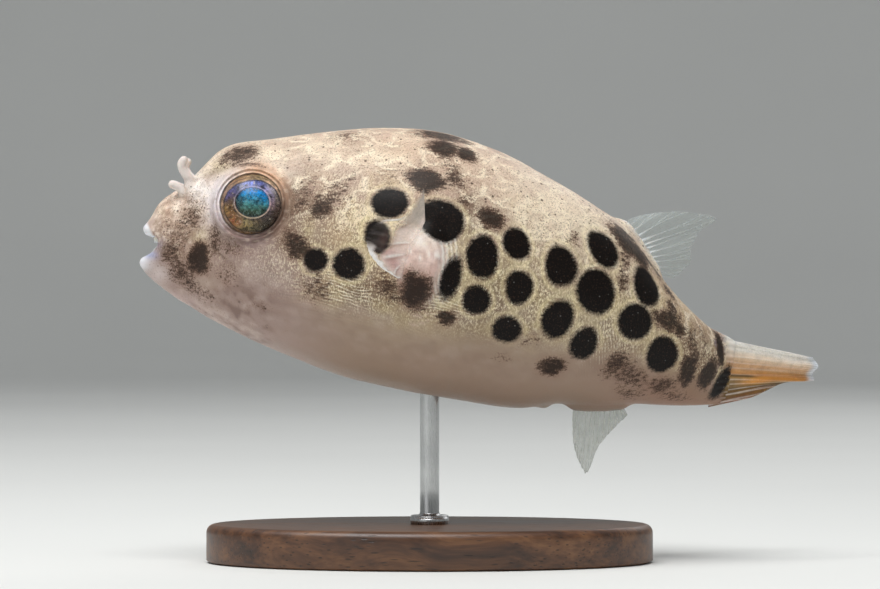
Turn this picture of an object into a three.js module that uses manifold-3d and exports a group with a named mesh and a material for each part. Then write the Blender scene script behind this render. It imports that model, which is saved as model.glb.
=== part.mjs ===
// A freshwater pufferfish, life size, as a still display model: a plump spotted fish swimming with its
// head raised and its tail curled aside, held over a flat base by one short rod.
// Units are millimetres. +Z is up, the fish looks towards -X, and the origin is the middle of the
// base's underside. The fish is drawn in a frame of its own, with s measured back from the mouth, y
// across and w up, and is then pitched nose up and lifted onto its rod.
import * as THREE from "three";
import { ParametricGeometry } from "three/addons/geometries/ParametricGeometry.js";
import { mergeVertices } from "three/addons/utils/BufferGeometryUtils.js";
import Module from "manifold-3d";

const wasm = await Module();
wasm.setup();

// ---------------------------------------------------------------- driving dimensions
const SEAM = 0.2; // the thin gap between two pieces that meet
const PITCH = THREE.MathUtils.degToRad(10); // nose-up tilt
const MOUTH = { x: -37, z: 40.6 }; // where the fish's own origin stands over the base
const BEND_START = 52; // behind this the body curls to its right
const BEND_RATE = 0.0204; // curl per millimetre

// The trunk's form at stations s: height of the back, depth of the belly, half width, and the height
// of its widest line.
const STATIONS = [
  { s: 4.0, back: 9.7, belly: -5.0, half: 4.7, wide: 1.5 },
  { s: 5.5, back: 11.9, belly: -5.7, half: 5.4, wide: 1.9 },
  { s: 7.2, back: 14.3, belly: -6.3, half: 6.6, wide: 2.2 },
  { s: 9.0, back: 15.6, belly: -7.1, half: 8.2, wide: 2.5 },
  { s: 13.0, back: 16.9, belly: -8.4, half: 10.7, wide: 2.8 },
  { s: 20.0, back: 19.1, belly: -10.2, half: 13.1, wide: 2.3 },
  { s: 28.0, back: 21.1, belly: -11.7, half: 15.0, wide: 1.7 },
  { s: 35.0, back: 21.8, belly: -12.2, half: 15.7, wide: 1.6 },
  { s: 43.0, back: 20.7, belly: -12.2, half: 14.9, wide: 1.9 },
  { s: 51.0, back: 18.1, belly: -11.9, half: 12.5, wide: 2.0 },
  { s: 56.5, back: 15.9, belly: -10.4, half: 10.3, wide: 1.9 },
  { s: 61.0, back: 13.6, belly: -9.9, half: 8.4, wide: 1.5 },
  { s: 66.0, back: 8.7, belly: -8.8, half: 6.2, wide: 0.1 },
  { s: 70.0, back: 5.5, belly: -8.3, half: 4.7, wide: -1.2 },
  { s: 74.0, back: 3.1, belly: -7.7, half: 3.4, wide: -2.2 },
  { s: 78.0, back: 1.8, belly: -6.8, half: 2.3, wide: -2.5 },
];
const SNOUT_END = STATIONS[0].s;
const TAIL_END = STATIONS[STATIONS.length - 1].s;
const BACK_POWER = 2.2; // squareness of the section over its widest line
const BELLY_POWER = 2.35; // and under it

// The mouth: a ring of lip round an opening, set back and lifted at its corners.
const LIP = {
  s: 0.35,
  half: 3.2,
  middle: 0.55,
  rise: 2.25,
  lean: 0.15,
  setback: 2.0,
  lift: 0.65,
  thick: 1.0,
  cornerThick: 0.72,
};
const CORNER_GAP = 0.16; // the angle between the two lips at each corner
// How the snout leaves the lip: forward, more so above, out to the side, up above the mouth and down
// below it. settle is how straight it runs on into the head.
const SNOUT = { forward: 1.2, brow: 0.5, side: 2.6, above: 8.5, below: 1.4, settle: 2.5 };
const MOUTH_HOLLOW = { radii: [2.6, 2.5, 1.5], at: [2.4, 0, 0.9] };
// The fused beak plates: two crescents, each with its lower and upper edge and how far back it stands.
const BEAK = { outer: 2.5, inner: 1.7, spread: 1.15 };
const BEAK_UPPER = { bottom: 1.15, top: 3.0, s: 0.75 };
const BEAK_LOWER = { bottom: -1.7, top: 0.6, s: 0.9 };

// The eyes: the middle of the open orbit, its radius, the ball behind it, and the swelling round it.
const EYE = { s: 13.1, w: 8.1, orbit: 3.95, ball: 4.7, flat: 4.0, rimOut: 10.3 };
const BROW = { swell: 0.7, reach: 4.25 };
const GAZE = new THREE.Vector3(-0.12, 1, 0.2).normalize();

// The feeler over each nostril forks into an upright stalk and a forward lobe.
const NOSTRIL_STALK = [
  [4.9, 2.9, 8.4],
  [3.7, 3.2, 9.9],
  [3.0, 3.4, 11.1],
  [2.8, 3.5, 11.8],
  [3.2, 3.5, 12.3],
];
const NOSTRIL_LOBE = [[4.6, 2.9, 8.6], [3.2, 3.0, 9.2], [2.1, 3.0, 9.0]];

// Fleshy bases of the fins: three radii, the middle, and the slope down towards the tail.
const DORSAL_BASE = { radii: [4.0, 1.35, 1.35], at: [63.2, 0.9, 11.6], slope: 0.74 };
const ANAL_BASE = { radii: [3.5, 1.2, 1.3], at: [61.2, 0.8, -9.6], slope: -0.16 };
const PECTORAL_BASE = { radii: [2.2, 1.5, 5.2], at: [36.6, 15.3, 4.6], slope: -0.12 };
const FIN = { membrane: 0.27, ray: 0.42 }; // half the thickness between the rays and on them
const PECTORAL_CUP = 1.3; // how deep the pectoral fin is cupped

const BASE = { length: 58, width: 36, thick: 5, chamfer: 1 };
const ROD = { radius: 1.25, top: 27.5 };

// Where the body is parted, as paths of [s, w]: under the jaw, behind the gill, along the lower
// flank, and at the root of the tail stalk.
const THROAT = [[-2.5, 0.95], [2.2, 0.95], [5.5, -1.6], [9.5, -5.6], [13.5, -10.6]];
const GILL = [[29.5, 25], [29.6, 14], [29.4, 8.4], [30.6, 4.6], [32.4, 2.0], [33.0, -3], [33.2, -16]];
const FLANK = [[33.0, -4.6], [42, -5.4], [51, -6.8], [56.2, -9.0], [57.2, -14]];
const STALK = [[67.6, 14], [68.2, 4], [68.0, -4], [67.4, -14]];

// ---------------------------------------------------------------- helpers
// One number of the body's form at s, by a smooth curve through the stations.
function form(key, s) {
  const last = STATIONS.length - 1;
  let i = 0;
  while (i < last - 1 && STATIONS[i + 1].s < s) i++;
  const slope = (k) => {
    const a = STATIONS[Math.max(k - 1, 0)];
    const b = STATIONS[Math.min(k + 1, last)];
    return (b[key] - a[key]) / (b.s - a.s);
  };
  const step = STATIONS[i + 1].s - STATIONS[i].s;
  return hermite(
    STATIONS[i][key],
    slope(i) * step,
    STATIONS[i + 1][key],
    slope(i + 1) * step,
    (s - STATIONS[i].s) / step,
  );
}

function hermite(a, slopeA, b, slopeB, t) {
  const t2 = t * t;
  const t3 = t2 * t;
  const ends = (2 * t3 - 3 * t2 + 1) * a + (3 * t2 - 2 * t3) * b;
  return ends + (t3 - 2 * t2 + t) * slopeA + (t3 - t2) * slopeB;
}

// Carries a point of the straight fish onto the curl of its tail.
function curl(p) {
  const past = Math.max(p.x - BEND_START, 0);
  const turn = Math.atan(BEND_RATE * past);
  return p.set(
    p.x - p.y * Math.sin(turn),
    (BEND_RATE * past * past) / 2 + p.y * Math.cos(turn),
    p.z,
  );
}

// A closed surface through a row of rings. A ring is a function of u, once round; the first and the
// last close to a point or a slit.
function loft(rings, around) {
  const rows = rings.length - 1;
  const place = (u, v, target) => target.copy(rings[Math.round(v * rows)](u));
  return new ParametricGeometry(place, around, rows);
}

// A closed geometry as a solid that can be cut.
function solidOf(geometry) {
  const bare = new THREE.BufferGeometry();
  bare.setAttribute("position", geometry.getAttribute("position"));
  bare.setIndex(geometry.index);
  const merged = mergeVertices(bare, 1e-3);
  const corners = merged.index.array;
  const kept = [];
  for (let i = 0; i < corners.length; i += 3) {
    const [a, b, c] = corners.slice(i, i + 3);
    if (a !== b && b !== c && c !== a) kept.push(a, b, c);
  }
  const build = (triVerts) =>
    new wasm.Manifold(
      new wasm.Mesh({
        numProp: 3,
        vertProperties: merged.attributes.position.array,
        triVerts: new Uint32Array(triVerts),
      }),
    );
  const made = build(kept);
  return made.volume() > 0 ? made : build(kept.reverse());
}

// A solid as a named mesh in its own finish.
function meshOf(name, solid, colour, roughness = 0.5, metalness = 0) {
  const cut = solid.getMesh();
  const geometry = new THREE.BufferGeometry();
  const places = new Float32Array(cut.numVert * 3);
  for (let i = 0; i < cut.numVert; i++)
    places.set(cut.vertProperties.subarray(i * cut.numProp, i * cut.numProp + 3), i * 3);
  geometry.setAttribute("position", new THREE.BufferAttribute(places, 3));
  geometry.setIndex(new THREE.BufferAttribute(cut.triVerts, 1));
  const finish = new THREE.MeshStandardMaterial({ color: colour, roughness, metalness });
  const mesh = new THREE.Mesh(geometry, finish);
  mesh.name = name;
  return mesh;
}

// An egg of three radii, sloped by a rotation about Y and set at a place.
function egg({ radii, at, slope = 0 }, side = 1, grow = 0) {
  const ball = new THREE.SphereGeometry(1, 14, 8).scale(...radii.map((radius) => radius + grow));
  return solidOf(ball.rotateY(slope).translate(at[0], side * at[1], at[2]));
}

function vectors(points) {
  return points.map((p) => new THREE.Vector3(...p));
}

// A thin blade across the whole width, along a path of [s, w] points, for parting two pieces.
function blade(points) {
  const path = new THREE.SplineCurve(points.map((p) => new THREE.Vector2(...p)));
  const steps = 2 * points.length;
  const side = (sign) =>
    path.getPoints(steps).map((p, i) => {
      const along = path.getTangent(i / steps);
      return new THREE.Vector2(p.x - (sign * along.y * SEAM) / 2, p.y + (sign * along.x * SEAM) / 2);
    });
  const width = 60;
  const shape = new THREE.Shape([...side(1), ...side(-1).reverse()]);
  const cutter = new THREE.ExtrudeGeometry(shape, { depth: width, bevelEnabled: false, steps: 1 });
  return solidOf(cutter.rotateX(Math.PI / 2).translate(0, width / 2, 0));
}

// A round feeler along a curve, its radius given by a function of how far along it is.
function feeler(curve, radius, rows, around = 8) {
  const frames = curve.computeFrenetFrames(rows);
  const ring = (i, size) => (u) => {
    const turn = u * 2 * Math.PI;
    return curve
      .getPoint(i / rows)
      .addScaledVector(frames.normals[i], size * Math.cos(turn))
      .addScaledVector(frames.binormals[i], size * Math.sin(turn));
  };
  const rings = [ring(0, 0)];
  for (let i = 0; i <= rows; i++) rings.push(ring(i, radius(i / rows)));
  rings.push(ring(rows, 0));
  return loft(rings, around);
}

// ---------------------------------------------------------------- flesh
// A point of the body's surface at s, at an angle round the section, swollen round the eyes.
function skin(s, angle, grow) {
  const across = Math.cos(angle);
  const up = Math.sin(angle);
  const power = 2 / (up > 0 ? BACK_POWER : BELLY_POWER);
  const wide = form("wide", s);
  const reach = up > 0 ? form("back", s) - wide : wide - form("belly", s);
  const y = (form("half", s) + grow) * Math.sign(across) * Math.abs(across) ** power;
  const w = wide + (reach + grow) * Math.sign(up) * Math.abs(up) ** power;
  const off = Math.hypot(s - EYE.s, w - EYE.w) / BROW.reach;
  return new THREE.Vector3(s, y + Math.sign(y) * BROW.swell * Math.exp(-off * off), w);
}

// The middle of the lip at an angle round the mouth, and the way out from it.
function lipMiddle(angle) {
  const corner = Math.cos(angle) ** 2;
  return new THREE.Vector3(
    LIP.s - LIP.lean * Math.sin(angle) + LIP.setback * corner,
    LIP.half * Math.cos(angle),
    LIP.middle + LIP.rise * Math.sin(angle) + LIP.lift * corner,
  );
}

function lipThick(angle) {
  return THREE.MathUtils.lerp(LIP.thick, LIP.cornerThick, Math.cos(angle) ** 2);
}

function lipPoint(angle, around, grow) {
  const out = new THREE.Vector3(0, Math.cos(angle), Math.sin(angle));
  const radius = lipThick(angle) + grow;
  return lipMiddle(angle)
    .addScaledVector(out, radius * Math.cos(around))
    .add(new THREE.Vector3(-radius * Math.sin(around), 0, 0));
}

// The snout, between the back of the lip and the first station.
function snoutPoint(angle, t, grow) {
  const start = lipPoint(angle, 0, grow);
  const end = skin(SNOUT_END, angle, grow);
  const next = skin(SNOUT_END + 1, angle, grow);
  const up = Math.sin(angle);
  const out = new THREE.Vector3(
    -SNOUT.forward - SNOUT.brow * up,
    SNOUT.side * Math.cos(angle),
    ((SNOUT.above + SNOUT.below) * up + (SNOUT.above - SNOUT.below) * up * up) / 2,
  );
  const back = next.sub(end).multiplyScalar(SNOUT.settle);
  return new THREE.Vector3(
    hermite(start.x, out.x, end.x, back.x, t),
    hermite(start.y, out.y, end.y, back.y, t),
    hermite(start.z, out.z, end.z, back.z, t),
  );
}

// The whole body from the mouth's back wall to the root of the tail fin.
function bodySolid(grow) {
  const around = 32;
  const snoutRows = 3;
  const bodyRows = 20;
  const crowding = 1.12; // rings stand closer together towards the head
  const mouthWall = LIP.s + 1.6;
  const tailCap = 0.4;
  const ringOf = (place) => (u) => curl(place(u * 2 * Math.PI));
  const rings = [ringOf(() => new THREE.Vector3(mouthWall - grow, 0, LIP.middle))];
  for (let i = 0; i <= snoutRows; i++) rings.push(ringOf((a) => snoutPoint(a, i / snoutRows, grow)));
  for (let i = 1; i <= bodyRows; i++) {
    const s = THREE.MathUtils.lerp(SNOUT_END, TAIL_END, (i / bodyRows) ** crowding);
    rings.push(ringOf((a) => skin(s, a, grow)));
  }
  rings.push(ringOf(() => new THREE.Vector3(TAIL_END + tailCap + grow, 0, form("wide", TAIL_END))));
  return solidOf(loft(rings, around));
}

// Half of the ring of lip, from one corner of the mouth to the other.
function lipSolid(upper, grow) {
  const rows = 9;
  const gap = CORNER_GAP - grow / 4;
  const ring = (angle, size) => (u) =>
    size ? lipPoint(angle, u * 2 * Math.PI, grow) : lipMiddle(angle);
  const sign = upper ? 1 : -1;
  const at = (t) => sign * THREE.MathUtils.lerp(gap, Math.PI - gap, t);
  const rings = [ring(at(0), 0)];
  for (let i = 0; i <= rows; i++) rings.push(ring(at(i / rows), 1));
  rings.push(ring(at(1), 0));
  return solidOf(loft(rings, 10));
}

// A fused beak plate: a crescent that stands behind the lip, with its cutting edge in the mouth.
function beakSolid({ bottom, top, s }, grow) {
  const outer = BEAK.outer + grow;
  const inner = BEAK.inner - grow;
  const spread = BEAK.spread + grow / 3;
  const plan = new THREE.Shape();
  plan.absarc(0, 0, outer, Math.PI - spread, Math.PI + spread, false);
  plan.absarc(0, 0, inner, Math.PI + spread, Math.PI - spread, true);
  const depth = top - bottom + 2 * grow;
  const plate = new THREE.ExtrudeGeometry(plan, { depth, bevelEnabled: false, curveSegments: 5 });
  return solidOf(plate.translate(s + outer - grow, 0, bottom - grow));
}

// ---------------------------------------------------------------- fins
// A blade of fin. surface(a, b) is its middle sheet, a across the rays and b from root to edge. Each
// ray stands proud of the membrane on both faces.
function finSolid(surface, rays) {
  const across = 2 * rays;
  const rows = 4;
  const rootRow = 0.01;
  const edgeRow = 0.985;
  const small = 1e-3;
  const normalAt = (a, b) => {
    const alongA = surface(Math.min(a + small, 1), b).sub(surface(Math.max(a - small, 0), b));
    const alongB = surface(a, Math.min(b + small, 1)).sub(surface(a, Math.max(b - small, 0)));
    return alongA.cross(alongB).normalize();
  };
  const ring = (b, size) => (u) => {
    const a = 1 - Math.abs(2 * u - 1);
    const face = u < 0.5 ? 1 : -1;
    const edge = Math.min(a, 1 - a) < 1e-6 ? 0 : 1;
    const onRay = Math.round(a * across) % 2 === 1;
    const half = size * edge * (onRay ? FIN.ray : FIN.membrane);
    return curl(surface(a, b).addScaledVector(normalAt(a, b), face * half));
  };
  const rings = [ring(0, 0)];
  for (let i = 0; i <= rows; i++) rings.push(ring(THREE.MathUtils.lerp(rootRow, edgeRow, i / rows), 1));
  rings.push(ring(1, 0));
  return solidOf(loft(rings, 2 * across));
}

// The middle sheet of a fin that stands in the fish's midline: roots on a straight line, the outer
// margin through a few [s, w] points, and pleats that fold the rays from side to side.
function midlineFin(rootFrom, rootTo, margin, { pleats, folds, lean }) {
  const pleatAt = (a, b) => pleats * Math.sin(folds * Math.PI * a) * THREE.MathUtils.lerp(0.3, 1, b);
  const edge = new THREE.SplineCurve(margin.map((p) => new THREE.Vector2(...p)));
  return (a, b) => {
    const root = new THREE.Vector2(...rootFrom).lerp(new THREE.Vector2(...rootTo), a);
    const at = root.lerp(edge.getPoint(a), b);
    return new THREE.Vector3(at.x, pleatAt(a, b) + lean * b * b, at.y);
  };
}

const DORSAL = midlineFin(
  [59.9, 13.4],
  [65.6, 8.2],
  [[62.0, 16.2], [66.6, 17.4], [72.3, 17.2], [70.6, 14.4], [70.3, 10.6], [68.2, 8.2]],
  { pleats: 0.25, folds: 5, lean: 0.6 },
);
const ANAL = midlineFin(
  [58.3, -9.2],
  [64.2, -8.4],
  [[58.6, -13.4], [60.2, -17.4], [61.5, -19.0], [62.7, -15.9], [64.1, -13.0], [65.6, -10.4]],
  { pleats: 0.2, folds: 4, lean: -0.5 },
);
const CAUDAL = midlineFin(
  [76.6, 1.6],
  [76.3, -7.2],
  [[88.6, 1.7], [90.5, 0.8], [90.2, -0.5], [90.6, -1.9], [86.8, -2.6], [82.6, -4.6]],
  { pleats: 0.45, folds: 6, lean: 0 },
);

// A pectoral fin, cupped like a hand, reaching out and forward from its fleshy base. side is -1 for
// the fish's left and 1 for its right.
function pectoralFin(side) {
  const rootPoints = [[36.0, 14.3, 9.2], [36.6, 15.5, 4.6], [37.4, 14.7, 0.4]];
  const roots = new THREE.QuadraticBezierCurve3(...vectors(rootPoints));
  const margin = new THREE.CatmullRomCurve3(
    vectors([
      [34.4, 16.6, 14.1],
      [32.5, 17.8, 10.2],
      [30.2, 19.2, 8.6],
      [28.6, 20.3, 5.4],
      [30.9, 20.6, 3.2],
      [33.2, 20.0, 2.1],
      [35.0, 18.6, 0.6],
      [37.0, 17.0, -0.7],
    ]),
  );
  return (a, b) => {
    const p = roots.getPoint(a).lerp(margin.getPoint(a), b);
    p.y += PECTORAL_CUP * Math.sin(Math.PI * b) * Math.sin(Math.PI * a);
    p.y *= side;
    return p;
  };
}

// ---------------------------------------------------------------- stand
function baseSolid() {
  const { length, width, thick, chamfer } = BASE;
  const plan = new THREE.Shape();
  plan.absellipse(0, 0, length / 2 - chamfer, width / 2 - chamfer, 0, 2 * Math.PI);
  const slab = new THREE.ExtrudeGeometry(plan, {
    depth: thick - chamfer,
    bevelThickness: chamfer,
    bevelSize: chamfer,
    bevelSegments: 1,
    curveSegments: 18,
    steps: 1,
  });
  // Only the upper edge is chamfered: the lower bevel is cut off flat, then the slab is set down.
  const lower = new THREE.BoxGeometry(2 * length, 2 * width, 2 * chamfer).translate(0, 0, -chamfer);
  return solidOf(slab).subtract(solidOf(lower));
}

function rodGeometry(grow) {
  const height = ROD.top - BASE.thick + grow;
  const rod = new THREE.CylinderGeometry(ROD.radius + grow, ROD.radius + grow, height, 16);
  return rod.rotateX(Math.PI / 2).translate(0, 0, BASE.thick + height / 2);
}

// ---------------------------------------------------------------- assembly
const COLOUR = {
  skin: 0xcdbb94,
  belly: 0xe6d6c6,
  lip: 0xe9ddd6,
  beak: 0xd7dde2,
  eye: 0x2f6f8c,
  fin: 0xb9c2b4,
  caudal: 0xe2c79a,
  wood: 0x4a2f1f,
  steel: 0xb8babd,
};

const fish = new THREE.Group();
fish.position.set(MOUTH.x, 0, MOUTH.z);
fish.rotation.y = PITCH;
fish.updateMatrixWorld(true);
const intoFish = fish.matrixWorld.clone().invert();

const body = bodySolid(0);
const bodyRoom = bodySolid(SEAM);

// Lips, beak and the open mouth.
const lipUpper = lipSolid(true, 0);
const lipLower = lipSolid(false, 0);
const lipRoom = lipSolid(true, SEAM).add(lipSolid(false, SEAM));
const beakUpper = beakSolid(BEAK_UPPER, 0).subtract(lipRoom);
const beakLower = beakSolid(BEAK_LOWER, 0).subtract(lipRoom);
const beakRoom = beakSolid(BEAK_UPPER, SEAM).add(beakSolid(BEAK_LOWER, SEAM));

// Eyes sit in round sockets, one on each side.
function eyeGeometry(side, grow) {
  const gaze = GAZE.clone().multiply(new THREE.Vector3(1, side, 1));
  const depth = EYE.flat * Math.sqrt(1 - (EYE.orbit / EYE.ball) ** 2);
  const at = new THREE.Vector3(EYE.s, side * EYE.rimOut, EYE.w).addScaledVector(gaze, -depth);
  const turn = new THREE.Quaternion().setFromUnitVectors(new THREE.Vector3(0, 1, 0), gaze);
  return new THREE.SphereGeometry(1, 16, 10)
    .scale(EYE.ball + grow, EYE.flat + grow, EYE.ball + grow)
    .applyQuaternion(turn)
    .translate(at.x, at.y, at.z);
}

function nostrilSolid(side) {
  const onSide = (points) => vectors(points.map(([s, y, w]) => [s, side * y, w]));
  const curve = (points) => new THREE.CatmullRomCurve3(onSide(points));
  const waist = (t) => 0.85 - 0.35 * Math.sin(Math.PI * Math.min(0.8 * t, 0.5));
  const flare = (t) => 0.6 + 0.15 * t;
  const stalk = solidOf(feeler(curve(NOSTRIL_STALK), waist, 6));
  const lobe = solidOf(feeler(curve(NOSTRIL_LOBE), flare, 4));
  return stalk.add(lobe).subtract(bodyRoom);
}

// The body, hollowed for what sits in it and then parted with thin cuts.
const rodRoom = solidOf(rodGeometry(SEAM).applyMatrix4(intoFish));
const sockets = solidOf(eyeGeometry(-1, SEAM)).add(solidOf(eyeGeometry(1, SEAM)));
let flesh = body;
for (const room of [lipRoom, beakRoom, egg(MOUTH_HOLLOW), sockets, rodRoom]) flesh = flesh.subtract(room);
for (const path of [THROAT, GILL, FLANK, STALK]) flesh = flesh.subtract(blade(path));

// Each parted piece is known by a place deep inside it, and crumbs at the mouth's corners are dropped.
const FLESH_PIECES = [
  { name: "head", at: [17, 6], colour: COLOUR.skin },
  { name: "lower_jaw", at: [6, -4.2], colour: COLOUR.belly },
  { name: "trunk", at: [45, 6], colour: COLOUR.skin },
  { name: "belly", at: [42, -9], colour: COLOUR.belly },
  { name: "tail_stalk", at: [73, -2.5], colour: COLOUR.skin },
];
for (const { name, at, colour } of FLESH_PIECES) {
  const middle = curl(new THREE.Vector3(at[0], 0, at[1]));
  const probe = egg({ radii: [0.4, 0.4, 0.4], at: middle.toArray() });
  const piece = flesh.decompose().find((part) => part.intersect(probe).volume() > 0);
  fish.add(meshOf(name, piece, colour, 0.45));
}

fish.add(meshOf("lip_upper", lipUpper, COLOUR.lip, 0.35));
fish.add(meshOf("lip_lower", lipLower, COLOUR.lip, 0.35));
fish.add(meshOf("beak_upper", beakUpper, COLOUR.beak, 0.25));
fish.add(meshOf("beak_lower", beakLower, COLOUR.beak, 0.25));

for (const [label, side] of [["left", -1], ["right", 1]]) {
  const base = egg(PECTORAL_BASE, side).subtract(bodyRoom);
  const fin = finSolid(pectoralFin(side), 12).subtract(egg(PECTORAL_BASE, side, SEAM)).subtract(bodyRoom);
  fish.add(meshOf(`eye_${label}`, solidOf(eyeGeometry(side, 0)), COLOUR.eye, 0.1));
  fish.add(meshOf(`nostril_feeler_${label}`, nostrilSolid(side), COLOUR.lip, 0.4));
  fish.add(meshOf(`pectoral_base_${label}`, base, COLOUR.skin, 0.45));
  fish.add(meshOf(`pectoral_fin_${label}`, fin, COLOUR.fin, 0.4));
}
const dorsalFin = finSolid(DORSAL, 9).subtract(egg(DORSAL_BASE, 1, SEAM)).subtract(bodyRoom);
const analFin = finSolid(ANAL, 8).subtract(egg(ANAL_BASE, 1, SEAM)).subtract(bodyRoom);
fish.add(meshOf("dorsal_base", egg(DORSAL_BASE).subtract(bodyRoom), COLOUR.skin, 0.45));
fish.add(meshOf("dorsal_fin", dorsalFin, COLOUR.fin, 0.4));
fish.add(meshOf("anal_base", egg(ANAL_BASE).subtract(bodyRoom), COLOUR.belly, 0.45));
fish.add(meshOf("anal_fin", analFin, COLOUR.fin, 0.4));
fish.add(meshOf("caudal_fin", finSolid(CAUDAL, 9).subtract(bodyRoom), COLOUR.caudal, 0.4));

const part = new THREE.Group();
part.add(fish);
part.add(meshOf("stand_base", baseSolid(), COLOUR.wood, 0.5));
part.add(meshOf("stand_rod", solidOf(rodGeometry(0)), COLOUR.steel, 0.25, 1));

export default part;
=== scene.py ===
"""A freshwater pufferfish, life size, as a still display model on a small stand.

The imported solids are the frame. This script gives them their looks: one skin over all the flesh,
eyes with a lens, iris and cornea, beak plates, fins with rays, and a turned stand. It is laid out
as an add-on and run as a script.

Lengths in this file are millimetres unless a name ends in _m. The fish is drawn in a frame of its
own, s back from the mouth, y across and w up, then curled, pitched and lifted onto its rod.
"""

import math

import bpy
import numpy as np
from bpy.props import FloatProperty, FloatVectorProperty, PointerProperty
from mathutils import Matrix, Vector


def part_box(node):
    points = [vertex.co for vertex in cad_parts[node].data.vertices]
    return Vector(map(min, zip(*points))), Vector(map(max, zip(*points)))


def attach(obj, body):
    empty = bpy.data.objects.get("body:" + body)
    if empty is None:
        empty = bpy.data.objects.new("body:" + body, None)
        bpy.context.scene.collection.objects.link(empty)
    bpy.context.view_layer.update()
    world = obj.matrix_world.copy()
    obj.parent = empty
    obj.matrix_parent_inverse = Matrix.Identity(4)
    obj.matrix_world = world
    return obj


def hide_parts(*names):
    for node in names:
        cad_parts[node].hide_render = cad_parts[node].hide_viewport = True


bl_info = {
    "name": "Pufferfish display model",
    "version": (1, 0, 0),
    "blender": (4, 5, 0),
    "location": "3D View > Sidebar > Pufferfish",
    "description": "Skin, eyes, beak, fins, stand and stage of a life-size pufferfish",
    "category": "Object",
}

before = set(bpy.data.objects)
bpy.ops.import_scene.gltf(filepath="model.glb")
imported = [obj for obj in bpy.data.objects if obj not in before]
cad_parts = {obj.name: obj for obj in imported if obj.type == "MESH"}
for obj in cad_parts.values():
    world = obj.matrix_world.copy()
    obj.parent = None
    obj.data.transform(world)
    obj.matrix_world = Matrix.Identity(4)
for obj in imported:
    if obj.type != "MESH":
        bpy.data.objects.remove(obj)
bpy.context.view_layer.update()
BODY = "root"
MM = 0.001

# ---------- the fish's form
# Stations down the body: s, height of the back, depth of the belly, half width, and the height of
# the widest line. They are the solids' own.
STATIONS = np.array(
    [
        (4.0, 9.7, -5.0, 4.7, 1.5),
        (5.5, 11.9, -5.7, 5.4, 1.9),
        (7.2, 14.3, -6.3, 6.6, 2.2),
        (9.0, 15.6, -7.1, 8.2, 2.5),
        (13.0, 16.9, -8.4, 10.7, 2.8),
        (20.0, 19.1, -10.2, 13.1, 2.3),
        (28.0, 21.1, -11.7, 15.0, 1.7),
        (35.0, 21.8, -12.2, 15.7, 1.6),
        (43.0, 20.7, -12.2, 14.9, 1.9),
        (51.0, 18.1, -11.9, 12.5, 2.0),
        (56.5, 15.9, -10.4, 10.3, 1.9),
        (61.0, 13.6, -9.9, 8.4, 1.5),
        (66.0, 8.7, -8.8, 6.2, 0.1),
        (70.0, 5.5, -8.3, 4.7, -1.2),
        (74.0, 3.1, -7.7, 3.4, -2.2),
        (78.0, 1.8, -6.8, 2.3, -2.5),
    ]
)
BACK, BELLY, HALF, WIDE = 1, 2, 3, 4
BACK_POWER = 2.2  # squareness of the section over its widest line
BELLY_POWER = 2.35  # and under it
SNOUT_END, TAIL_END = STATIONS[0, 0], STATIONS[-1, 0]

PITCH = math.radians(10)
MOUTH = (-37.0, 0.0, 40.6)  # where the fish's own origin stands over the base
BEND_START, BEND_RATE = 52.0, 0.0204  # the tail's curl to the fish's right

LIP = dict(s=0.35, half=3.2, middle=0.55, rise=2.25, lean=0.15, setback=2.0, lift=0.65)
LIP_THICK, LIP_CORNER_THICK = 1.0, 0.72
SNOUT = dict(forward=1.2, brow=0.5, side=2.6, above=8.5, below=1.4, settle=2.5)
EYE = dict(s=13.1, w=8.1, orbit=3.95, ball=4.7, flat=4.0, rim_out=10.3)
BROW = dict(swell=0.7, reach=4.25)
GAZE = np.array([-0.12, 1.0, 0.2])  # where an eye on side 1 looks
SIGHT = (1.35, 34.8)  # where the camera's level line of sight passes the fish, along and up
SKIN_INSET = 0.08  # the skin lies this far inside the solids' smooth form
TAIL_CAP = 0.4  # how far the stalk's rounded end goes past its last station
TAIL_WEDGE = 70.0  # where the stalk starts to thin to the tail fin's thickness
ROW_CROWDING = 1.08  # rows of points stand closer together towards the head


def stacked(*columns):
    """Coordinates side by side, as points."""
    return np.stack(np.broadcast_arrays(*columns), axis=-1)


def unit(ways):
    """Directions, made 1 long."""
    return ways / np.maximum(np.linalg.norm(ways, axis=-1, keepdims=True), 1e-9)


def slopes(column):
    """The slope of one of the stations' columns at each station."""
    i = np.arange(len(STATIONS))
    before, after = STATIONS[np.maximum(i - 1, 0)], STATIONS[np.minimum(i + 1, len(i) - 1)]
    return (after[:, column] - before[:, column]) / (after[:, 0] - before[:, 0])


def hermite(a, slope_a, b, slope_b, t):
    """From a at t = 0 to b at t = 1, with the given slopes at its ends."""
    ends = (2 * t**3 - 3 * t**2 + 1) * a + (3 * t**2 - 2 * t**3) * b
    return ends + (t**3 - 2 * t**2 + t) * slope_a + (t**3 - t**2) * slope_b


def form(column, s):
    """One number of the body's form at s, by a smooth curve through the stations."""
    at, value, slope = STATIONS[:, 0], STATIONS[:, column], slopes(column)
    s = np.clip(s, SNOUT_END, TAIL_END)
    i = np.clip(np.searchsorted(at, s, side="right") - 1, 0, len(at) - 2)
    step = at[i + 1] - at[i]
    return hermite(value[i], slope[i] * step, value[i + 1], slope[i + 1] * step, (s - at[i]) / step)


def spline(points, t):
    """A smooth curve through points, for t from 0 to 1."""
    p = np.asarray(points, float)
    at = np.clip(np.asarray(t, float), 0, 1) * (len(p) - 1)
    i = np.minimum(at.astype(int), len(p) - 2)
    before, start, end, after = (p[np.clip(i + k, 0, len(p) - 1)] for k in (-1, 0, 1, 2))
    return hermite(start, (end - before) / 2, end, (after - start) / 2, (at - i)[..., None])


def reach_from(wide, s, over):
    """How far the back, or else the belly, is from the widest line."""
    return np.where(over, form(BACK, s) - wide, wide - form(BELLY, s))


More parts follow.
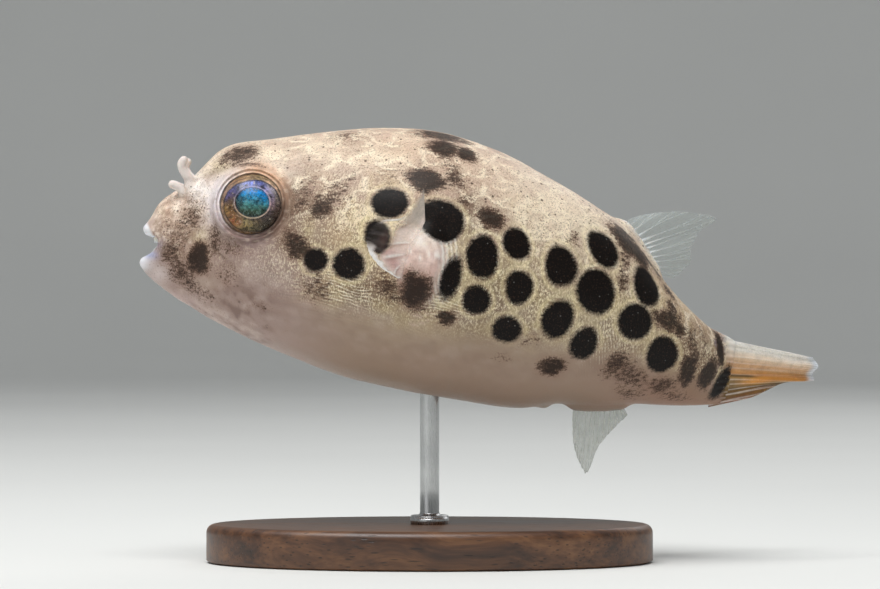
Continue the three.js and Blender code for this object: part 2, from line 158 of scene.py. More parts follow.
def height_share(s, w):
    """How high a place is: 1 on the back, 0 on the widest line and -1 on the belly."""
    wide = form(WIDE, s)
    return np.clip((w - wide) / reach_from(wide, s, w > wide), -1, 1)


def signed_power(value, power):
    """A power that keeps the sign."""
    return np.sign(value) * np.abs(value) ** power


def swelling(s, w):
    """How far the flank swells out over the eye."""
    return BROW["swell"] * np.exp(-((s - EYE["s"]) ** 2 + (w - EYE["w"]) ** 2) / BROW["reach"] ** 2)


def body_point(s, angle, grow=0.0):
    """A point of the body's surface at s, at an angle round its section."""
    across, up = np.cos(angle), np.sin(angle)
    power = np.where(up > 0, 2 / BACK_POWER, 2 / BELLY_POWER)
    wide = form(WIDE, s)
    y = (form(HALF, s) + grow) * signed_power(across, power)
    w = wide + (reach_from(wide, s, up > 0) + grow) * signed_power(up, power)
    return stacked(s, y + np.sign(y) * swelling(s, w), w)


def flank_angle(s, w, side):
    """The angle round the section of the flank's point at height w, on side 1 or -1."""
    wide = form(WIDE, s)
    over = w > wide
    t = np.clip(np.abs(w - wide) / reach_from(wide, s, over), 0, 0.9999)
    angle = np.arcsin(np.where(over, 1, -1) * t ** np.where(over, BACK_POWER / 2, BELLY_POWER / 2))
    return np.where(side > 0, angle, np.pi - angle)


def flank_point(s, w, side, grow=0.0):
    """The flank's point at height w, on side 1 or -1."""
    s, w = np.asarray(s, float), np.asarray(w, float)
    return body_point(s, flank_angle(s, w, side), grow)


def lip_middle(angle):
    """The middle of the roll of lip, set back and lifted at the corners of the mouth."""
    across, up = np.cos(angle), np.sin(angle)
    s = LIP["s"] - LIP["lean"] * up + LIP["setback"] * across**2
    return stacked(s, LIP["half"] * across, LIP["middle"] + LIP["rise"] * up + LIP["lift"] * across**2)


def lip_point(angle, around, grow=0.0):
    """A point of the roll of lip: around is 0 outside, a quarter turn in front and a half turn inside."""
    thick = LIP_THICK + (LIP_CORNER_THICK - LIP_THICK) * np.cos(angle) ** 2 + grow
    out, ahead = stacked(0, np.cos(angle), np.sin(angle)), np.array([-1.0, 0, 0])
    return lip_middle(angle) + thick[..., None] * (out * np.cos(around) + ahead * np.sin(around))


def snout_point(angle, t, grow=0.0):
    """The snout, from the back of the lip at t = 0 to the first station at t = 1."""
    start = lip_point(angle, 0.0, grow)
    end = body_point(SNOUT_END + 0 * angle, angle, grow)
    beyond = body_point(SNOUT_END + 1 + 0 * angle, angle, grow)
    up = np.sin(angle)
    above, below = SNOUT["above"], SNOUT["below"]
    rise = ((above + below) * up + (above - below) * up**2) / 2
    leave = stacked(-SNOUT["forward"] - SNOUT["brow"] * up, SNOUT["side"] * np.cos(angle), rise)
    return hermite(start, leave, end, (beyond - end) * SNOUT["settle"], t)


def curl(points):
    """Carries points of the straight fish onto the curl of its tail."""
    s, y, w = points.T
    past = np.maximum(s - BEND_START, 0)
    turn = np.arctan(BEND_RATE * past)
    return stacked(s - y * np.sin(turn), BEND_RATE * past**2 / 2 + y * np.cos(turn), w)


def settle(points):
    """Points of the straight fish, in millimetres, as places in the frame, in metres."""
    s, y, w = curl(np.asarray(points, float).reshape(-1, 3)).T
    x = s * math.cos(PITCH) + w * math.sin(PITCH)
    z = w * math.cos(PITCH) - s * math.sin(PITCH)
    return (stacked(x, y, z) + MOUTH) * MM


# ---------- small tools
def linear(code):
    """An sRGB hex colour such as "e2ccb4" as linear red, green and blue."""
    srgb = [int(code[i : i + 2], 16) / 255 for i in (0, 2, 4)]
    return tuple(c / 12.92 if c <= 0.04045 else ((c + 0.055) / 1.055) ** 2.4 for c in srgb)


def rgba(colour):
    return (*tuple(colour)[:3], 1.0)


def smooth(low, high, value):
    """0 up to low and 1 from high on, eased between. low may be the larger of the two."""
    t = np.clip((value - low) / (high - low), 0, 1)
    return t * t * (3 - 2 * t)


def hump(value, middle, width):
    """1 where value is middle, and falling smoothly to nothing over about twice the width."""
    return np.exp(-(((value - middle) / width) ** 2))


def hashed(ix, iy, iz, seed):
    """A number from 0 to 1 for each cell, the same each run and without a pattern."""
    h = (ix * 374761393 + iy * 668265263 + iz * 2147483647 + seed * 144665) & 0xFFFFFFFF
    h = ((h ^ (h >> 13)) * 1274126177) & 0xFFFFFFFF
    return ((h ^ (h >> 16)) & 0xFFFFFF) / 0xFFFFFF


def roughness(points, size, seed):
    """Smooth noise from 0 to 1 at each point, its lumps about size millimetres across."""
    p = np.asarray(points, float) / size + 1000.0
    cell = np.floor(p).astype(np.int64)
    f = p - cell
    f = f * f * (3 - 2 * f)
    total = np.zeros(len(p))
    for dz, dy, dx in np.ndindex(2, 2, 2):
        weight = np.where((dx, dy, dz), f, 1 - f).prod(axis=1)
        total += weight * hashed(*(cell + (dx, dy, dz)).T, seed)
    return total


def layered(points, size, seed):
    """Three octaves of roughness, from 0 to 1."""
    parts = [(0.57, 1.0), (0.29, 0.48), (0.14, 0.23)]
    return sum(share * roughness(points, size * scale, seed + i) for i, (share, scale) in enumerate(parts))


def pigment(colour):
    """A hex code as a linear colour. Colours that are linear already stay as they are."""
    return np.array(linear(colour)) if isinstance(colour, str) else colour


def wash(base, *layers):
    """Lays colours over a base, each a hex code or a colour for each place, by its share there."""
    base = pigment(base)
    for colour, share in layers:
        base = base + (pigment(colour) - base) * np.asarray(share)[:, None]
    return base


def stops(value, table):
    """A colour for each value, run evenly between a table's stops, each a value and its hex code."""
    channels = zip(*map(linear, table.values()))
    return stacked(*(np.interp(value, list(table), channel) for channel in channels))


def new_mesh(name, points, faces):
    """A smooth-shaded object from points in metres and faces, linked to the scene."""
    mesh = bpy.data.meshes.new(name)
    mesh.from_pydata([tuple(p) for p in points], [], [tuple(int(i) for i in f) for f in faces])
    if mesh.validate():
        raise ValueError(f"{name} has faces that can't be")
    mesh.shade_smooth()
    mesh.update()
    piece = bpy.data.objects.new(name, mesh)
    bpy.context.scene.collection.objects.link(piece)
    return piece


def store(piece, name, values):
    """Keeps a number or a colour for each vertex of a piece."""
    values = np.asarray(values, np.float32)
    if values.ndim == 1:
        piece.data.attributes.new(name, "FLOAT", "POINT").data.foreach_set("value", values)
        return
    full = np.ones((len(values), 4), np.float32)
    full[:, :3] = values
    piece.data.attributes.new(name, "FLOAT_COLOR", "POINT").data.foreach_set("color", full.ravel())


def sheet_faces(rows, cols, wrap=False, first=0):
    """Quads of a grid of rows x cols points, numbered from first."""
    r = np.arange(rows - 1)[:, None] * cols
    c = np.arange(cols if wrap else cols - 1)[None, :]
    after = (c + 1) % cols
    return stacked(r + c, r + after, r + cols + after, r + cols + c).reshape(-1, 4) + first


def closed_tube(rings):
    """A tube of rings closed by a pole at each end: its points and its faces."""
    rows, around = rings.shape[:2]
    n, last = rows * around, (rows - 1) * around
    faces = sheet_faces(rows, around, wrap=True).tolist()
    faces += [((i + 1) % around, i, n) for i in range(around)]
    faces += [(last + i, last + (i + 1) % around, n + 1) for i in range(around)]
    return np.concatenate([rings.reshape(-1, 3), rings[[0, -1]].mean(axis=1)]), faces


def dress(piece, material, nodes):
    """Finishes a piece: its material, its body and the nodes that it stands for."""
    piece.data.materials.append(material)
    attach(piece, BODY)
    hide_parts(*nodes)


# ---------- materials
EASED = dict(interpolation_type="SMOOTHSTEP")  # for a MapRange that eases in and out


def put(material, kind, inputs=None, ramp=None, out=0, **settings):
    """Adds one shader node and gives back one of its outputs. inputs are values, or the outputs that
    feed them, and ramp is the stops of a colour ramp."""
    tree = material.node_tree
    made = tree.nodes.new("ShaderNode" + kind)
    for name, value in settings.items():
        setattr(made, name, value)
    for key, value in (inputs or {}).items():
        if isinstance(value, bpy.types.NodeSocket):
            tree.links.new(value, made.inputs[key])
        else:
            made.inputs[key].default_value = value
    if ramp:
        while len(made.color_ramp.elements) < len(ramp):
            made.color_ramp.elements.new(0.5)
        for element, (at, colour) in zip(made.color_ramp.elements, ramp):
            element.position = at
            element.color = rgba(colour)
    return made.outputs[out] if made.outputs else None


def new_material(name):
    """An empty material, and the places of its surface in millimetres."""
    material = bpy.data.materials.new(name)
    material.use_nodes = True
    material.node_tree.nodes.clear()
    place = put(material, "TexCoord", out="Object")
    return material, put(material, "VectorMath", {0: place, "Scale": 1 / MM}, operation="SCALE")


def finish_material(material, **inputs):
    """Ends a material in one surface with the given inputs."""
    named = {key.replace("_", " "): value for key, value in inputs.items()}
    put(material, "OutputMaterial", {"Surface": put(material, "BsdfPrincipled", named)})
    return material


# ---------- kinds of setting
def colour_setting(name, description, code):
    return FloatVectorProperty(name=name, description=description, subtype="COLOR", default=linear(code))


def length_setting(name, description, millimetres):
    default = millimetres * MM
    return FloatProperty(name=name, description=description, default=default, unit="LENGTH", precision=5)


def share_setting(name, description, default, most=1):
    kind = dict(subtype="FACTOR", min=0, max=most)
    return FloatProperty(name=name, description=description, default=default, **kind)


# ---------- skin
SKIN_NODES = (
    "head", "lower_jaw", "trunk", "belly", "tail_stalk", "lip_upper", "lip_lower",
    "nostril_feeler_left", "nostril_feeler_right", "pectoral_base_left", "pectoral_base_right",
    "dorsal_base", "anal_base",
)
LEFT, RIGHT = -1, 1

# Round black spots of the left side: s, w, radius along, radius up, tilt in degrees.
BLACK_SPOTS = [
    (22.5, 2.5, 1.6, 1.45, 0), (26.75, 2.7, 2.05, 1.95, 0), (29.75, 6.75, 1.6, 2.3, 22),
    (30.5, 11.3, 2.35, 2.05, 12), (37.3, 10.2, 3.05, 2.7, -30), (39.75, 3.2, 1.25, 2.75, -8),
    (43.25, 6.6, 2.05, 2.75, 8), (47.25, 9, 1.8, 2.1, 32), (48.5, 3.6, 1.85, 2.1, 0),
    (43.45, 1.05, 1.8, 1.8, 0), (47.9, -1.95, 1.95, 1.65, 0), (53.05, 7.2, 1.9, 2.55, 5),
    (57.3, 4.8, 2.35, 2.85, 6), (57.5, 10.35, 1.9, 2.5, 22), (53.7, 0.45, 1.75, 2.5, -10),
    (57, -2.05, 1.6, 2.1, -8), (62.5, 1.85, 2.3, 2.3, 0), (63.4, 6.6, 2, 2.6, 14),
    (66.75, -1.7, 2.2, 2.35, 0), (76.8, -4.2, 1.05, 2.6, -23),
]
# Softer brown marks: s, w, radius along, radius up, tilt, strength.
BROWN_MARKS = [
    (43.4, 11.6, 1.8, 1.4, -12, 1.12), (40, -1.85, 1.15, 0.95, 0, 1), (54.1, -5.65, 1.6, 1.4, 12, 1.05),
    (34.5, 14.95, 2.35, 1.6, -8, 1.12), (37.5, 16.25, 1.5, 2, 0, 0.55), (36.1, 19.5, 2.1, 2, -10, 1.05),
    (39, 19.3, 1.5, 1.55, -25, 1.05), (35.4, 21.3, 3.5, 2, -3, 0.95), (38.1, 16.1, 1.3, 2, 20, 0.7),
    (40, 13.3, 1, 0.9, 0, 0.65), (19.9, 3.9, 1.9, 1.5, -35, 1), (18.6, 5.4, 1.4, 0.7, -35, 0.6),
    (7.5, 0.25, 1.95, 2, 0, 1.15), (10.2, 14.4, 2.5, 2.1, 10, 0.8), (8.6, 12.9, 1.3, 0.7, 30, 0.5),
    (11.9, 12.9, 2.3, 0.6, 8, 0.62), (19.2, 9.9, 1.2, 3, -14, 0.5), (22, 9.1, 1.4, 1.6, -20, 0.9),
    (22.6, 10, 1.4, 3.3, -28, 0.58), (23.8, 11.8, 0.8, 2.3, -30, 0.52), (35.65, 0.9, 1.75, 2.25, 8, 1.15),
    (32.4, 0.6, 2.6, 1.6, -25, 0.66), (29.75, 15, 1.3, 1.2, 0, 0.35), (23.25, 19, 2.2, 1.6, 0, 0.4),
    (5.6, 5.2, 1.8, 2.3, 10, 0.55), (2.6, 3.6, 1, 1.4, 0, 0.4), (4.3, 2.6, 1.5, 1.9, 20, 0.5),
    (3.9, 0.2, 1.4, 2.1, 0, 0.66), (5, -1.7, 1.5, 2, 30, 0.66), (6.7, -3.2, 2.2, 1.3, -38, 0.6),
    (9, -4.3, 1.9, 1, -22, 0.5), (9.1, 3, 1.3, 2.1, 0, 0.6), (11.4, 2.4, 1.9, 1.2, 0, 0.42),
    (11.6, -1.2, 1.8, 1.3, 0, 0.42), (23, -0.75, 2, 2, 0, 0.52), (16.5, -4.5, 1.6, 0.6, 0, 0.3),
    (60.3, 12, 1.7, 2.6, 28, 1.05), (60.2, 13.1, 0.6, 2, 40, 0.9), (62.2, 10.6, 1.5, 2.5, 28, 1.05),
    (63.6, 10.2, 0.6, 1.8, 36, 0.9), (65, 9, 0.8, 2.2, 30, 0.75), (66.9, 2.9, 2.4, 1.3, 0, 1),
    (68.5, 2.1, 0.9, 1.3, 20, 0.9), (67.4, 4.4, 0.8, 1.2, 20, 0.75), (66.9, 6.6, 0.8, 2, 30, 0.7),
    (70.85, -3, 1.35, 2.3, -6, 1.1), (74.15, -3.2, 1.35, 2.3, -20, 1.15), (75.7, 0.4, 0.6, 2.4, 10, 1.2),
    (70.4, 0.8, 1.1, 2, 6, 0.6), (72.5, 0.75, 0.8, 2.2, 8, 0.4), (54, 11, 0.7, 0.9, 0, 0.5),
    (60.3, 9.6, 0.7, 1.3, 0, 0.65), (60.25, 7, 0.75, 1.5, 0, 0.65), (61.1, -4, 1.3, 1.8, -20, 0.75),
    (63, -4.9, 3, 1.5, -22, 0.62), (67.9, -5.75, 1.5, 1.3, 0, 0.75), (64.2, -7.4, 2.2, 1.1, 0, 0.5),
    (69.8, -6.8, 2.4, 0.9, 0, 0.48), (51, -2.75, 1.6, 0.8, 20, 0.35), (48, -5.5, 1.2, 0.6, 0, 0.3),
]
# Saddle marks that lie across the back, at the middle and to the right of it: s, y, radii, strength.
BACK_MARKS = [
    (14.5, 1.5, 2.2, 2, 0.6), (26, 4.5, 2.6, 2.2, 0.75), (35.5, 3.5, 2.8, 2.4, 0.75),
    (44.5, 4, 2.4, 2.2, 0.7), (51, 3, 2, 1.9, 0.75), (57, 2.6, 1.8, 1.5, 0.7),
]


class Puffer:
    """The skin's points and faces while it is built, in the straight fish's frame.

    points are where the skin is, plain where it would be without its relief: marks are painted by
    plain. feeler is how far up a nostril feeler a point is, and 0 elsewhere.
    """

    cols = 224
    pocket_rows, lip_rows, snout_rows, body_rows, cap_rows = 8, 18, 26, 300, 6
    pocket_back, pocket_lift = 3.6, 0.2  # from the lip's middle to the end of the mouth's pocket
    easing_passes, easing_rows = 60, 5.0  # over the groove between lip and snout
    end_thinned, thinning_power = 0.93, 1.6  # how much width the end of the stalk loses, and how late

    def __init__(self):
        self.triangles = []
        self.lay_grid()
        self.quads = sheet_faces(self.rows, self.cols, wrap=True)
        self.close_ends()
        for side in (LEFT, RIGHT):
            self.open_eye(side)
            for path, radii, reach in (FEELER_STALK, FEELER_LOBE):
                self.grow_feeler(np.array(path) * (1, side, 1), radii, reach)

    def lay_grid(self):
        """The grid of the skin's points, how it lies when it is laid flat, and its relief."""
        grid = self.ease_lips(np.array(self.lay_rings()))
        self.rows = len(grid)
        self.plain = grid.reshape(-1, 3).copy()
        thin = np.clip((grid[..., 0] - TAIL_WEDGE) / (TAIL_END + TAIL_CAP - TAIL_WEDGE), 0, 1)
        grid[..., 1] *= 1 - self.end_thinned * thin**self.thinning_power
        steps = np.linalg.norm(np.diff(grid, axis=0), axis=-1).mean(axis=1)
        self.lengths = np.concatenate([[0], np.cumsum(steps)])
        columns = np.arange(self.cols) / self.cols
        self.uv = stacked(self.lengths[:, None], columns).reshape(-1, 2)
        outer = np.arange(len(self.plain)) >= self.first_outer_row * self.cols
        self.points = grid.reshape(-1, 3) + self.outward(grid) * (relief(self.plain) * outer)[:, None]
        self.feeler = np.zeros(len(self.points))

    def lay_rings(self):
        """Rings from the mouth's pocket over the lips, snout and body to the end of the stalk."""
        angle = np.linspace(0, 2 * np.pi, self.cols, endpoint=False) - np.pi / 2
        deep = np.array([LIP["s"] + self.pocket_back, 0, LIP["middle"] + self.pocket_lift])
        inner = lip_point(angle, np.pi, -SKIN_INSET)
        shares = [(i + 0.5) / self.pocket_rows for i in range(self.pocket_rows)]
        rings = [deep + (inner - deep) * (t, math.sqrt(t), math.sqrt(t)) for t in shares]
        turns = [np.pi * (1 - i / self.lip_rows) for i in range(self.lip_rows)]
        rings += [lip_point(angle, turn, -SKIN_INSET) for turn in turns]
        self.first_outer_row = len(rings)
        rings += [snout_point(angle, i / self.snout_rows, -SKIN_INSET) for i in range(self.snout_rows)]
        self.first_body_row = len(rings)
        for i in range(self.body_rows + 1):
            s = SNOUT_END + (TAIL_END - SNOUT_END) * (i / self.body_rows) ** ROW_CROWDING
            rings.append(body_point(s + 0 * angle, angle, -SKIN_INSET))
        last, middle = rings[-1], np.array([TAIL_END, 0, form(WIDE, TAIL_END)])
        for i in range(1, self.cap_rows + 1):
            turn = i / (self.cap_rows + 1) * np.pi / 2
            rings.append(middle + (last - middle) * math.cos(turn) + (TAIL_CAP * math.sin(turn), 0, 0))
        return rings

    def ease_lips(self, grid):
        """Fills the groove where the roll of lip meets the snout, so that one flows into the other."""
        rows = np.arange(len(grid))[1:-1]
        share = 0.5 * hump(rows, self.first_outer_row, self.easing_rows)[:, None, None]
        for _ in range(self.easing_passes):
            grid[1:-1] += share * ((grid[:-2] + grid[2:]) / 2 - grid[1:-1])
        return grid

    def outward(self, grid):
        """The direction straight out of the skin at each point of the grid."""
        along = np.gradient(grid, axis=0)
        round_it = np.roll(grid, -1, axis=1) - np.roll(grid, 1, axis=1)
        return unit(np.cross(round_it, along)).reshape(-1, 3)

    def add(self, points, uv, feeler=0.0):
        """Adds points and returns their numbers."""
        first = len(self.points)
        self.points = np.concatenate([self.points, points])
        self.plain = np.concatenate([self.plain, points])
        self.uv = np.concatenate([self.uv, uv])
        self.feeler = np.concatenate([self.feeler, np.full(len(points), feeler)])
        return np.arange(first, first + len(points))

    def close_ends(self):
        """A pole at each end of the grid."""
        for row, step in ((0, -1), (self.rows - 1, 1)):
            ring = np.arange(self.cols) + row * self.cols
            pole = self.add(self.points[ring].mean(axis=0)[None], np.array([[self.lengths[row], 0.5]]))
            self.fan(ring[::step], pole[0])

    def fan(self, ring, pole):
        """Triangles from a ring to one point."""
        self.triangles += [(a, b, pole) for a, b in zip(ring, np.roll(ring, -1))]

    def join(self, ring, following):
        """Quads between two rings of as many points, the first one nearer the flank."""
        made = stacked(ring, np.roll(ring, -1), np.roll(following, -1), following)
        self.quads = np.concatenate([self.quads, made])

    def cut(self, inside):
        """Drops the faces that touch the marked points, and returns the edge left open, in order."""
        touched = inside[self.quads].any(axis=1)
        gone = self.quads[touched]
        self.quads = self.quads[~touched]
        edges = {(int(f[i]), int(f[(i + 1) % 4])) for f in gone for i in range(4)}
        after = {a: b for a, b in edges if (b, a) not in edges}
        loop = [min(after)]
        while after[loop[-1]] != loop[0]:
            loop.append(after[loop[-1]])
        return np.array(loop)

    def spread(self, turn):
        """The angles of a cut edge once round, and the same number of angles evenly spaced."""
        turn = np.unwrap(turn)
        way = np.sign(turn[-1] - turn[0])
        even = way * 2 * np.pi * np.arange(len(turn)) / len(turn)
        return turn, even + (turn - even).mean()

    def open_eye(self, side):
        """Cuts a round hole in one flank and fills it with the rings of the eye's fold and socket."""
        s, y, w = self.plain.T
        loop = self.cut((off_eye(s, w) < EYE_RINGS[0][0]) & (np.sign(y) == side) & (s > SNOUT_END))
        turn, even = self.spread(np.arctan2(w[loop] - EYE["w"], s[loop] - EYE["s"]))
        axes = eye_axes(side)
        for index, (radius, height, hold, flat_radius) in enumerate(EYE_RINGS):
            relax = min(index / 10, 1.0)
            phi = turn * (1 - relax) + even * relax
            if radius == 0:
                phi = phi[:1]
            aft, up = np.cos(phi), np.sin(phi)
            surface = flank_point(EYE["s"] + radius * aft, EYE["w"] + radius * up, side, -SKIN_INSET)
            plane = rim_point(axes, radius, phi)
            uneven = 0.55 + 0.9 * roughness(stacked(5 * aft, 5 * up, 3 * radius), 2.2, 71)
            points = surface + (plane - surface) * hold + axes["gaze"] * (height * uneven)[:, None]
            uv = self.unwrap(EYE["s"] + flat_radius * aft, EYE["w"] + flat_radius * up, side)
            ring = self.add(points, uv)
            if radius == 0:
                self.fan(loop, ring[0])
            else:
                self.join(loop, ring)
            loop = ring

    def unwrap(self, s, w, side):
        """Where places of the flank lie when the skin is laid flat."""
        angle = flank_angle(s, w, side)
        row_s = self.plain[: self.rows * self.cols].reshape(self.rows, self.cols, 3)[:, 0, 0]
        body = slice(self.first_body_row, self.first_body_row + self.body_rows + 1)
        along = np.interp(s, row_s[body], self.lengths[body])
        return stacked(along, ((angle + np.pi / 2) / (2 * np.pi)) % 1.0)

    def grow_feeler(self, path, radii, reach):
        """Grows a feeler from the skin along a path, flared where it leaves the skin."""
        root = self.points[np.argmin(np.linalg.norm(self.points - path[0], axis=1))]
        path = np.concatenate([root[None], path[1:]])
        loop = self.cut(np.linalg.norm(self.points - root, axis=1) < reach)
        rows, flare, tip = 26, 9, 6
        t = np.linspace(0, 1, rows) ** 1.25
        middle = spline(path, t)
        along = unit(np.gradient(middle, axis=0))
        across = unit(np.array([0, 1, 0]) - along * along[:, 1:2])
        third = np.cross(along, across)
        radius = np.interp(t, np.linspace(0, 1, len(radii)), radii)
        first, first_uv = self.points[loop], self.uv[loop]
        centre_uv = first_uv.mean(axis=0)
        turn, even = self.spread(np.arctan2((first - root) @ third[0], (first - root) @ across[0]))
        ring = loop
        for i in range(1, rows + tip):
            k = min(i, rows - 1)
            round_tip = max(i - rows + 1, 0) / tip * np.pi / 2
            relax = min(i / flare, 1.0)
            phi = (turn * (1 - relax) + even * relax)[:, None]
            size = radius[k] * math.cos(round_tip)
            tube = middle[k] + size * (np.cos(phi) * across[k] + np.sin(phi) * third[k])
            tube = tube + along[k] * radius[k] * math.sin(round_tip)
            leave = 1 - (1 - relax) ** 2
            share = i / (rows + tip)
            grown_uv = first_uv + (centre_uv - first_uv) * share
            grown = self.add(first + (tube - first) * leave, grown_uv, relax)
            self.join(ring, grown)
            ring = grown
        pole = self.add((middle[-1] + along[-1] * radius[-1])[None], centre_uv[None], 1.0)
        self.fan(ring, pole[0])


def off_eye(s, w):
    """How far each place is from the eye's middle, seen from the side."""
    return np.hypot(s - EYE["s"], w - EYE["w"])


def eye_axes(side):
    """The gaze of one eye, and the level and upright directions of its rim's plane."""
    gaze = unit(GAZE * (1, side, 1))
    level = unit(np.array([1, 0, 0]) - gaze * gaze[0])
    upright = np.array([0, 0, 1]) - gaze * gaze[2]
    upright = unit(upright - level * (upright @ level))
    middle = np.array([EYE["s"], side * EYE["rim_out"], EYE["w"]])
    return dict(gaze=gaze, level=level, upright=upright, middle=middle)


def rim_point(axes, radius, phi):
    """A point of the rim's plane, at an angle phi."""
    out = np.cos(phi)[..., None] * axes["level"] + np.sin(phi)[..., None] * axes["upright"]
    return axes["middle"] + out * radius


def eye_rings():
    """Radius, height, hold and flat radius of each ring round the eye, from the flank to the socket.

    hold is how far a ring has left the flank for the plane of the rim, and the flat radius is where
    it lies when the skin is laid out flat.
    """
    radii = np.concatenate([np.linspace(5.7, 4.95, 7), np.linspace(4.88, 3.98, 19)])
    crests = 0.20 * hump(radii, 4.62, 0.17) + 0.20 * hump(radii, 4.12, 0.14)
    grooves = 0.10 * hump(radii, 4.38, 0.09) + 0.10 * hump(radii, 4.98, 0.16)
    rings = list(zip(radii, crests - grooves, smooth(5.7, 4.6, radii), radii))
    socket = [(3.94, 0.04, 3.8), (3.92, -0.12, 3.6), (3.92, -0.4, 3.3), (3.9, -0.8, 2.9)]
    socket += [(3.4, -1.6, 2.0), (0, -2.2, 0)]
    return rings + [(radius, height, 1.0, flat) for radius, height, flat in socket]


EYE_RINGS = eye_rings()

# The two lobes of a nostril feeler, on side 1: the path, the radii along it and the reach of its root.
FEELER_STALK = (
    [(4.75, 2.9, 9.3), (4.2, 3.1, 10.1), (3.55, 3.3, 10.75), (3.13, 3.4, 11.3),
     (3.03, 3.45, 11.85), (3.2, 3.45, 12.3)],
    (0.88, 0.64, 0.55, 0.55, 0.58, 0.54), 0.95,
)
FEELER_LOBE = ([(3.9, 2.9, 8.1), (3.4, 3.0, 8.6), (2.9, 3.05, 8.85), (2.3, 3.1, 8.95)],
               (0.62, 0.56, 0.58, 0.56), 0.6)


def bump_at(s, w, at_s, at_w, radius_s, radius_w, tilt=0.0):
    """How far into an oval mark each place is: 1 at its middle, falling smoothly to nothing."""
    turn = math.radians(tilt)
    ds, dw = s - at_s, w - at_w
    a = (ds * math.cos(turn) + dw * math.sin(turn)) / radius_s
    b = (dw * math.cos(turn) - ds * math.sin(turn)) / radius_w
    return np.exp(-(a * a + b * b))


def crease(s, w, start, end, width):
    """How near each place is to a line between two places, fading at its ends."""
    ds, dw = end[0] - start[0], end[1] - start[1]
    t = np.clip(((s - start[0]) * ds + (w - start[1]) * dw) / (ds * ds + dw * dw), 0, 1)
    off = np.hypot(s - start[0] - t * ds, w - start[1] - t * dw)
    return hump(off, 0, width) * np.clip(4 * t * (1 - t) + 0.15, 0, 1)


# Lines in the skin, from one place to another: s and w of each.
NOSE_FURROW = (5.4, 10.3), (9.6, 12.4)  # from the feeler back under the brow
BROW_RIDGE = (6.2, 11.6), (12.5, 14.0)
CHEEK_FOLD = (8.3, 1.9), (11.6, 0.4)  # behind the mouth
CHIN_CREASE = (2.9, 1.6), (4.6, -2.4)
GILL_SLIT = (32.2, 8.4), (31.9, 1.6)  # under the front of the pectoral fin


PECTORAL = dict(s=35.9, w=4.3, half_s=2.95, half_w=5.0, high=1.25)
RIDGE_AT, RIDGE_GAP = 0.86, 0.19  # the base's ridges: a crest, and from one to the next
TAIL_ROOT = (76.4, 1.7), (76.1, -7.5)  # upper and lower end of the tail fin's root
TAIL_RAYS = 11


def pectoral_fold(s, w):
    """How far out each place is in the fin's fleshy base, 0 at its middle and 1 at its edge."""
    return np.hypot((s - PECTORAL["s"]) / PECTORAL["half_s"], (w - PECTORAL["w"]) / PECTORAL["half_w"])


def pectoral_ridges(fold):
    """The ridges that run round the pectoral fin's base: 1 on a crest and -1 in a furrow."""
    wave = np.cos(2 * np.pi * (fold - RIDGE_AT) / RIDGE_GAP)
    return wave * smooth(0.6, 0.8, fold) * smooth(1.7, 1.35, fold)


def tail_rays(s, w):
    """The tail fin's rays where they start in the end of the stalk: 1 on a ray and -1 between."""
    across = (TAIL_ROOT[0][1] - w) / (9.2 - 0.2 * (s - 76.2))
    return np.cos(2 * np.pi * (TAIL_RAYS * across - 0.5)) * smooth(76.0, 77.2, s)


def relief(points):
    """How far the skin stands out of, or in from, the plain form at each place."""
    s, y, w = points.T
    h = 0.16 * (layered(points, 5.5, 11) - 0.5) + 0.10 * (layered(points, 1.9, 12) - 0.5)
    h *= smooth(2.0, 6.0, s)
    # A mound under each nostril feeler.
    h += 0.3 * bump_at(s, w, 4.7, 8.7, 1.2, 1.0)
    for height, line, width in (
        (-0.30, NOSE_FURROW, 0.45),
        (0.18, BROW_RIDGE, 0.8),
        (-0.22, CHEEK_FOLD, 0.2),
        (-0.16, CHIN_CREASE, 0.35),
        (-0.45, GILL_SLIT, 0.3),
    ):
        h += height * crease(s, w, *line, width)
    # An oval of fine folds on the cheek.
    oval = np.hypot((s - 17.3) / 1.9, (w - 0.5) / 0.85)
    h += 0.05 * np.cos(oval * 9) * smooth(1.9, 0.9, oval)
    # Fleshy base of the pectoral fin, with ridges that follow its rear edge.
    fold = pectoral_fold(s, w)
    h += PECTORAL["high"] * smooth(1.16, 0.5, fold)
    aft, up = (s - PECTORAL["s"]) / PECTORAL["half_s"], (w - PECTORAL["w"]) / PECTORAL["half_w"]
    h += 0.15 * pectoral_ridges(fold) * smooth(-0.2, 0.35, aft + 0.3 * up) + 0.05 * tail_rays(s, w)
    # Sheaths at the roots of the dorsal and anal fins, and the vent in front of the anal fin.
    top, under = hump(y, 0, 1.0) * (w > 3), hump(y, 0, 0.9) * (w < -3)
    h += 0.9 * top * smooth(58.6, 61.0, s) * smooth(67.4, 65.4, s)
    h += 0.75 * under * smooth(56.6, 58.6, s) * smooth(66.2, 64.4, s)
    h += under * (0.35 * hump(s, 54.6, 0.9) - 0.3 * hump(s, 56.0, 0.4))
    # Coarse soft folds along the side of the belly.
    zone = smooth(14, 24, s) * smooth(62, 50, s) * hump(w, -3.2, 3.2)
    h += 0.035 * zone * np.sin(2 * np.pi * (w + 0.025 * s + 1.1 * layered(points, 6.0, 21)) / 1.25)
    # Fine puckers across the lips.
    lips = smooth(1.5, 0.6, s) * smooth(-6, 0, -np.abs(w - LIP["middle"]) + 4)
    h += 0.025 * lips * np.sin(18.0 * np.arctan2(w - LIP["middle"], y))
    return h * smooth(5.7, 6.9, off_eye(s, w))


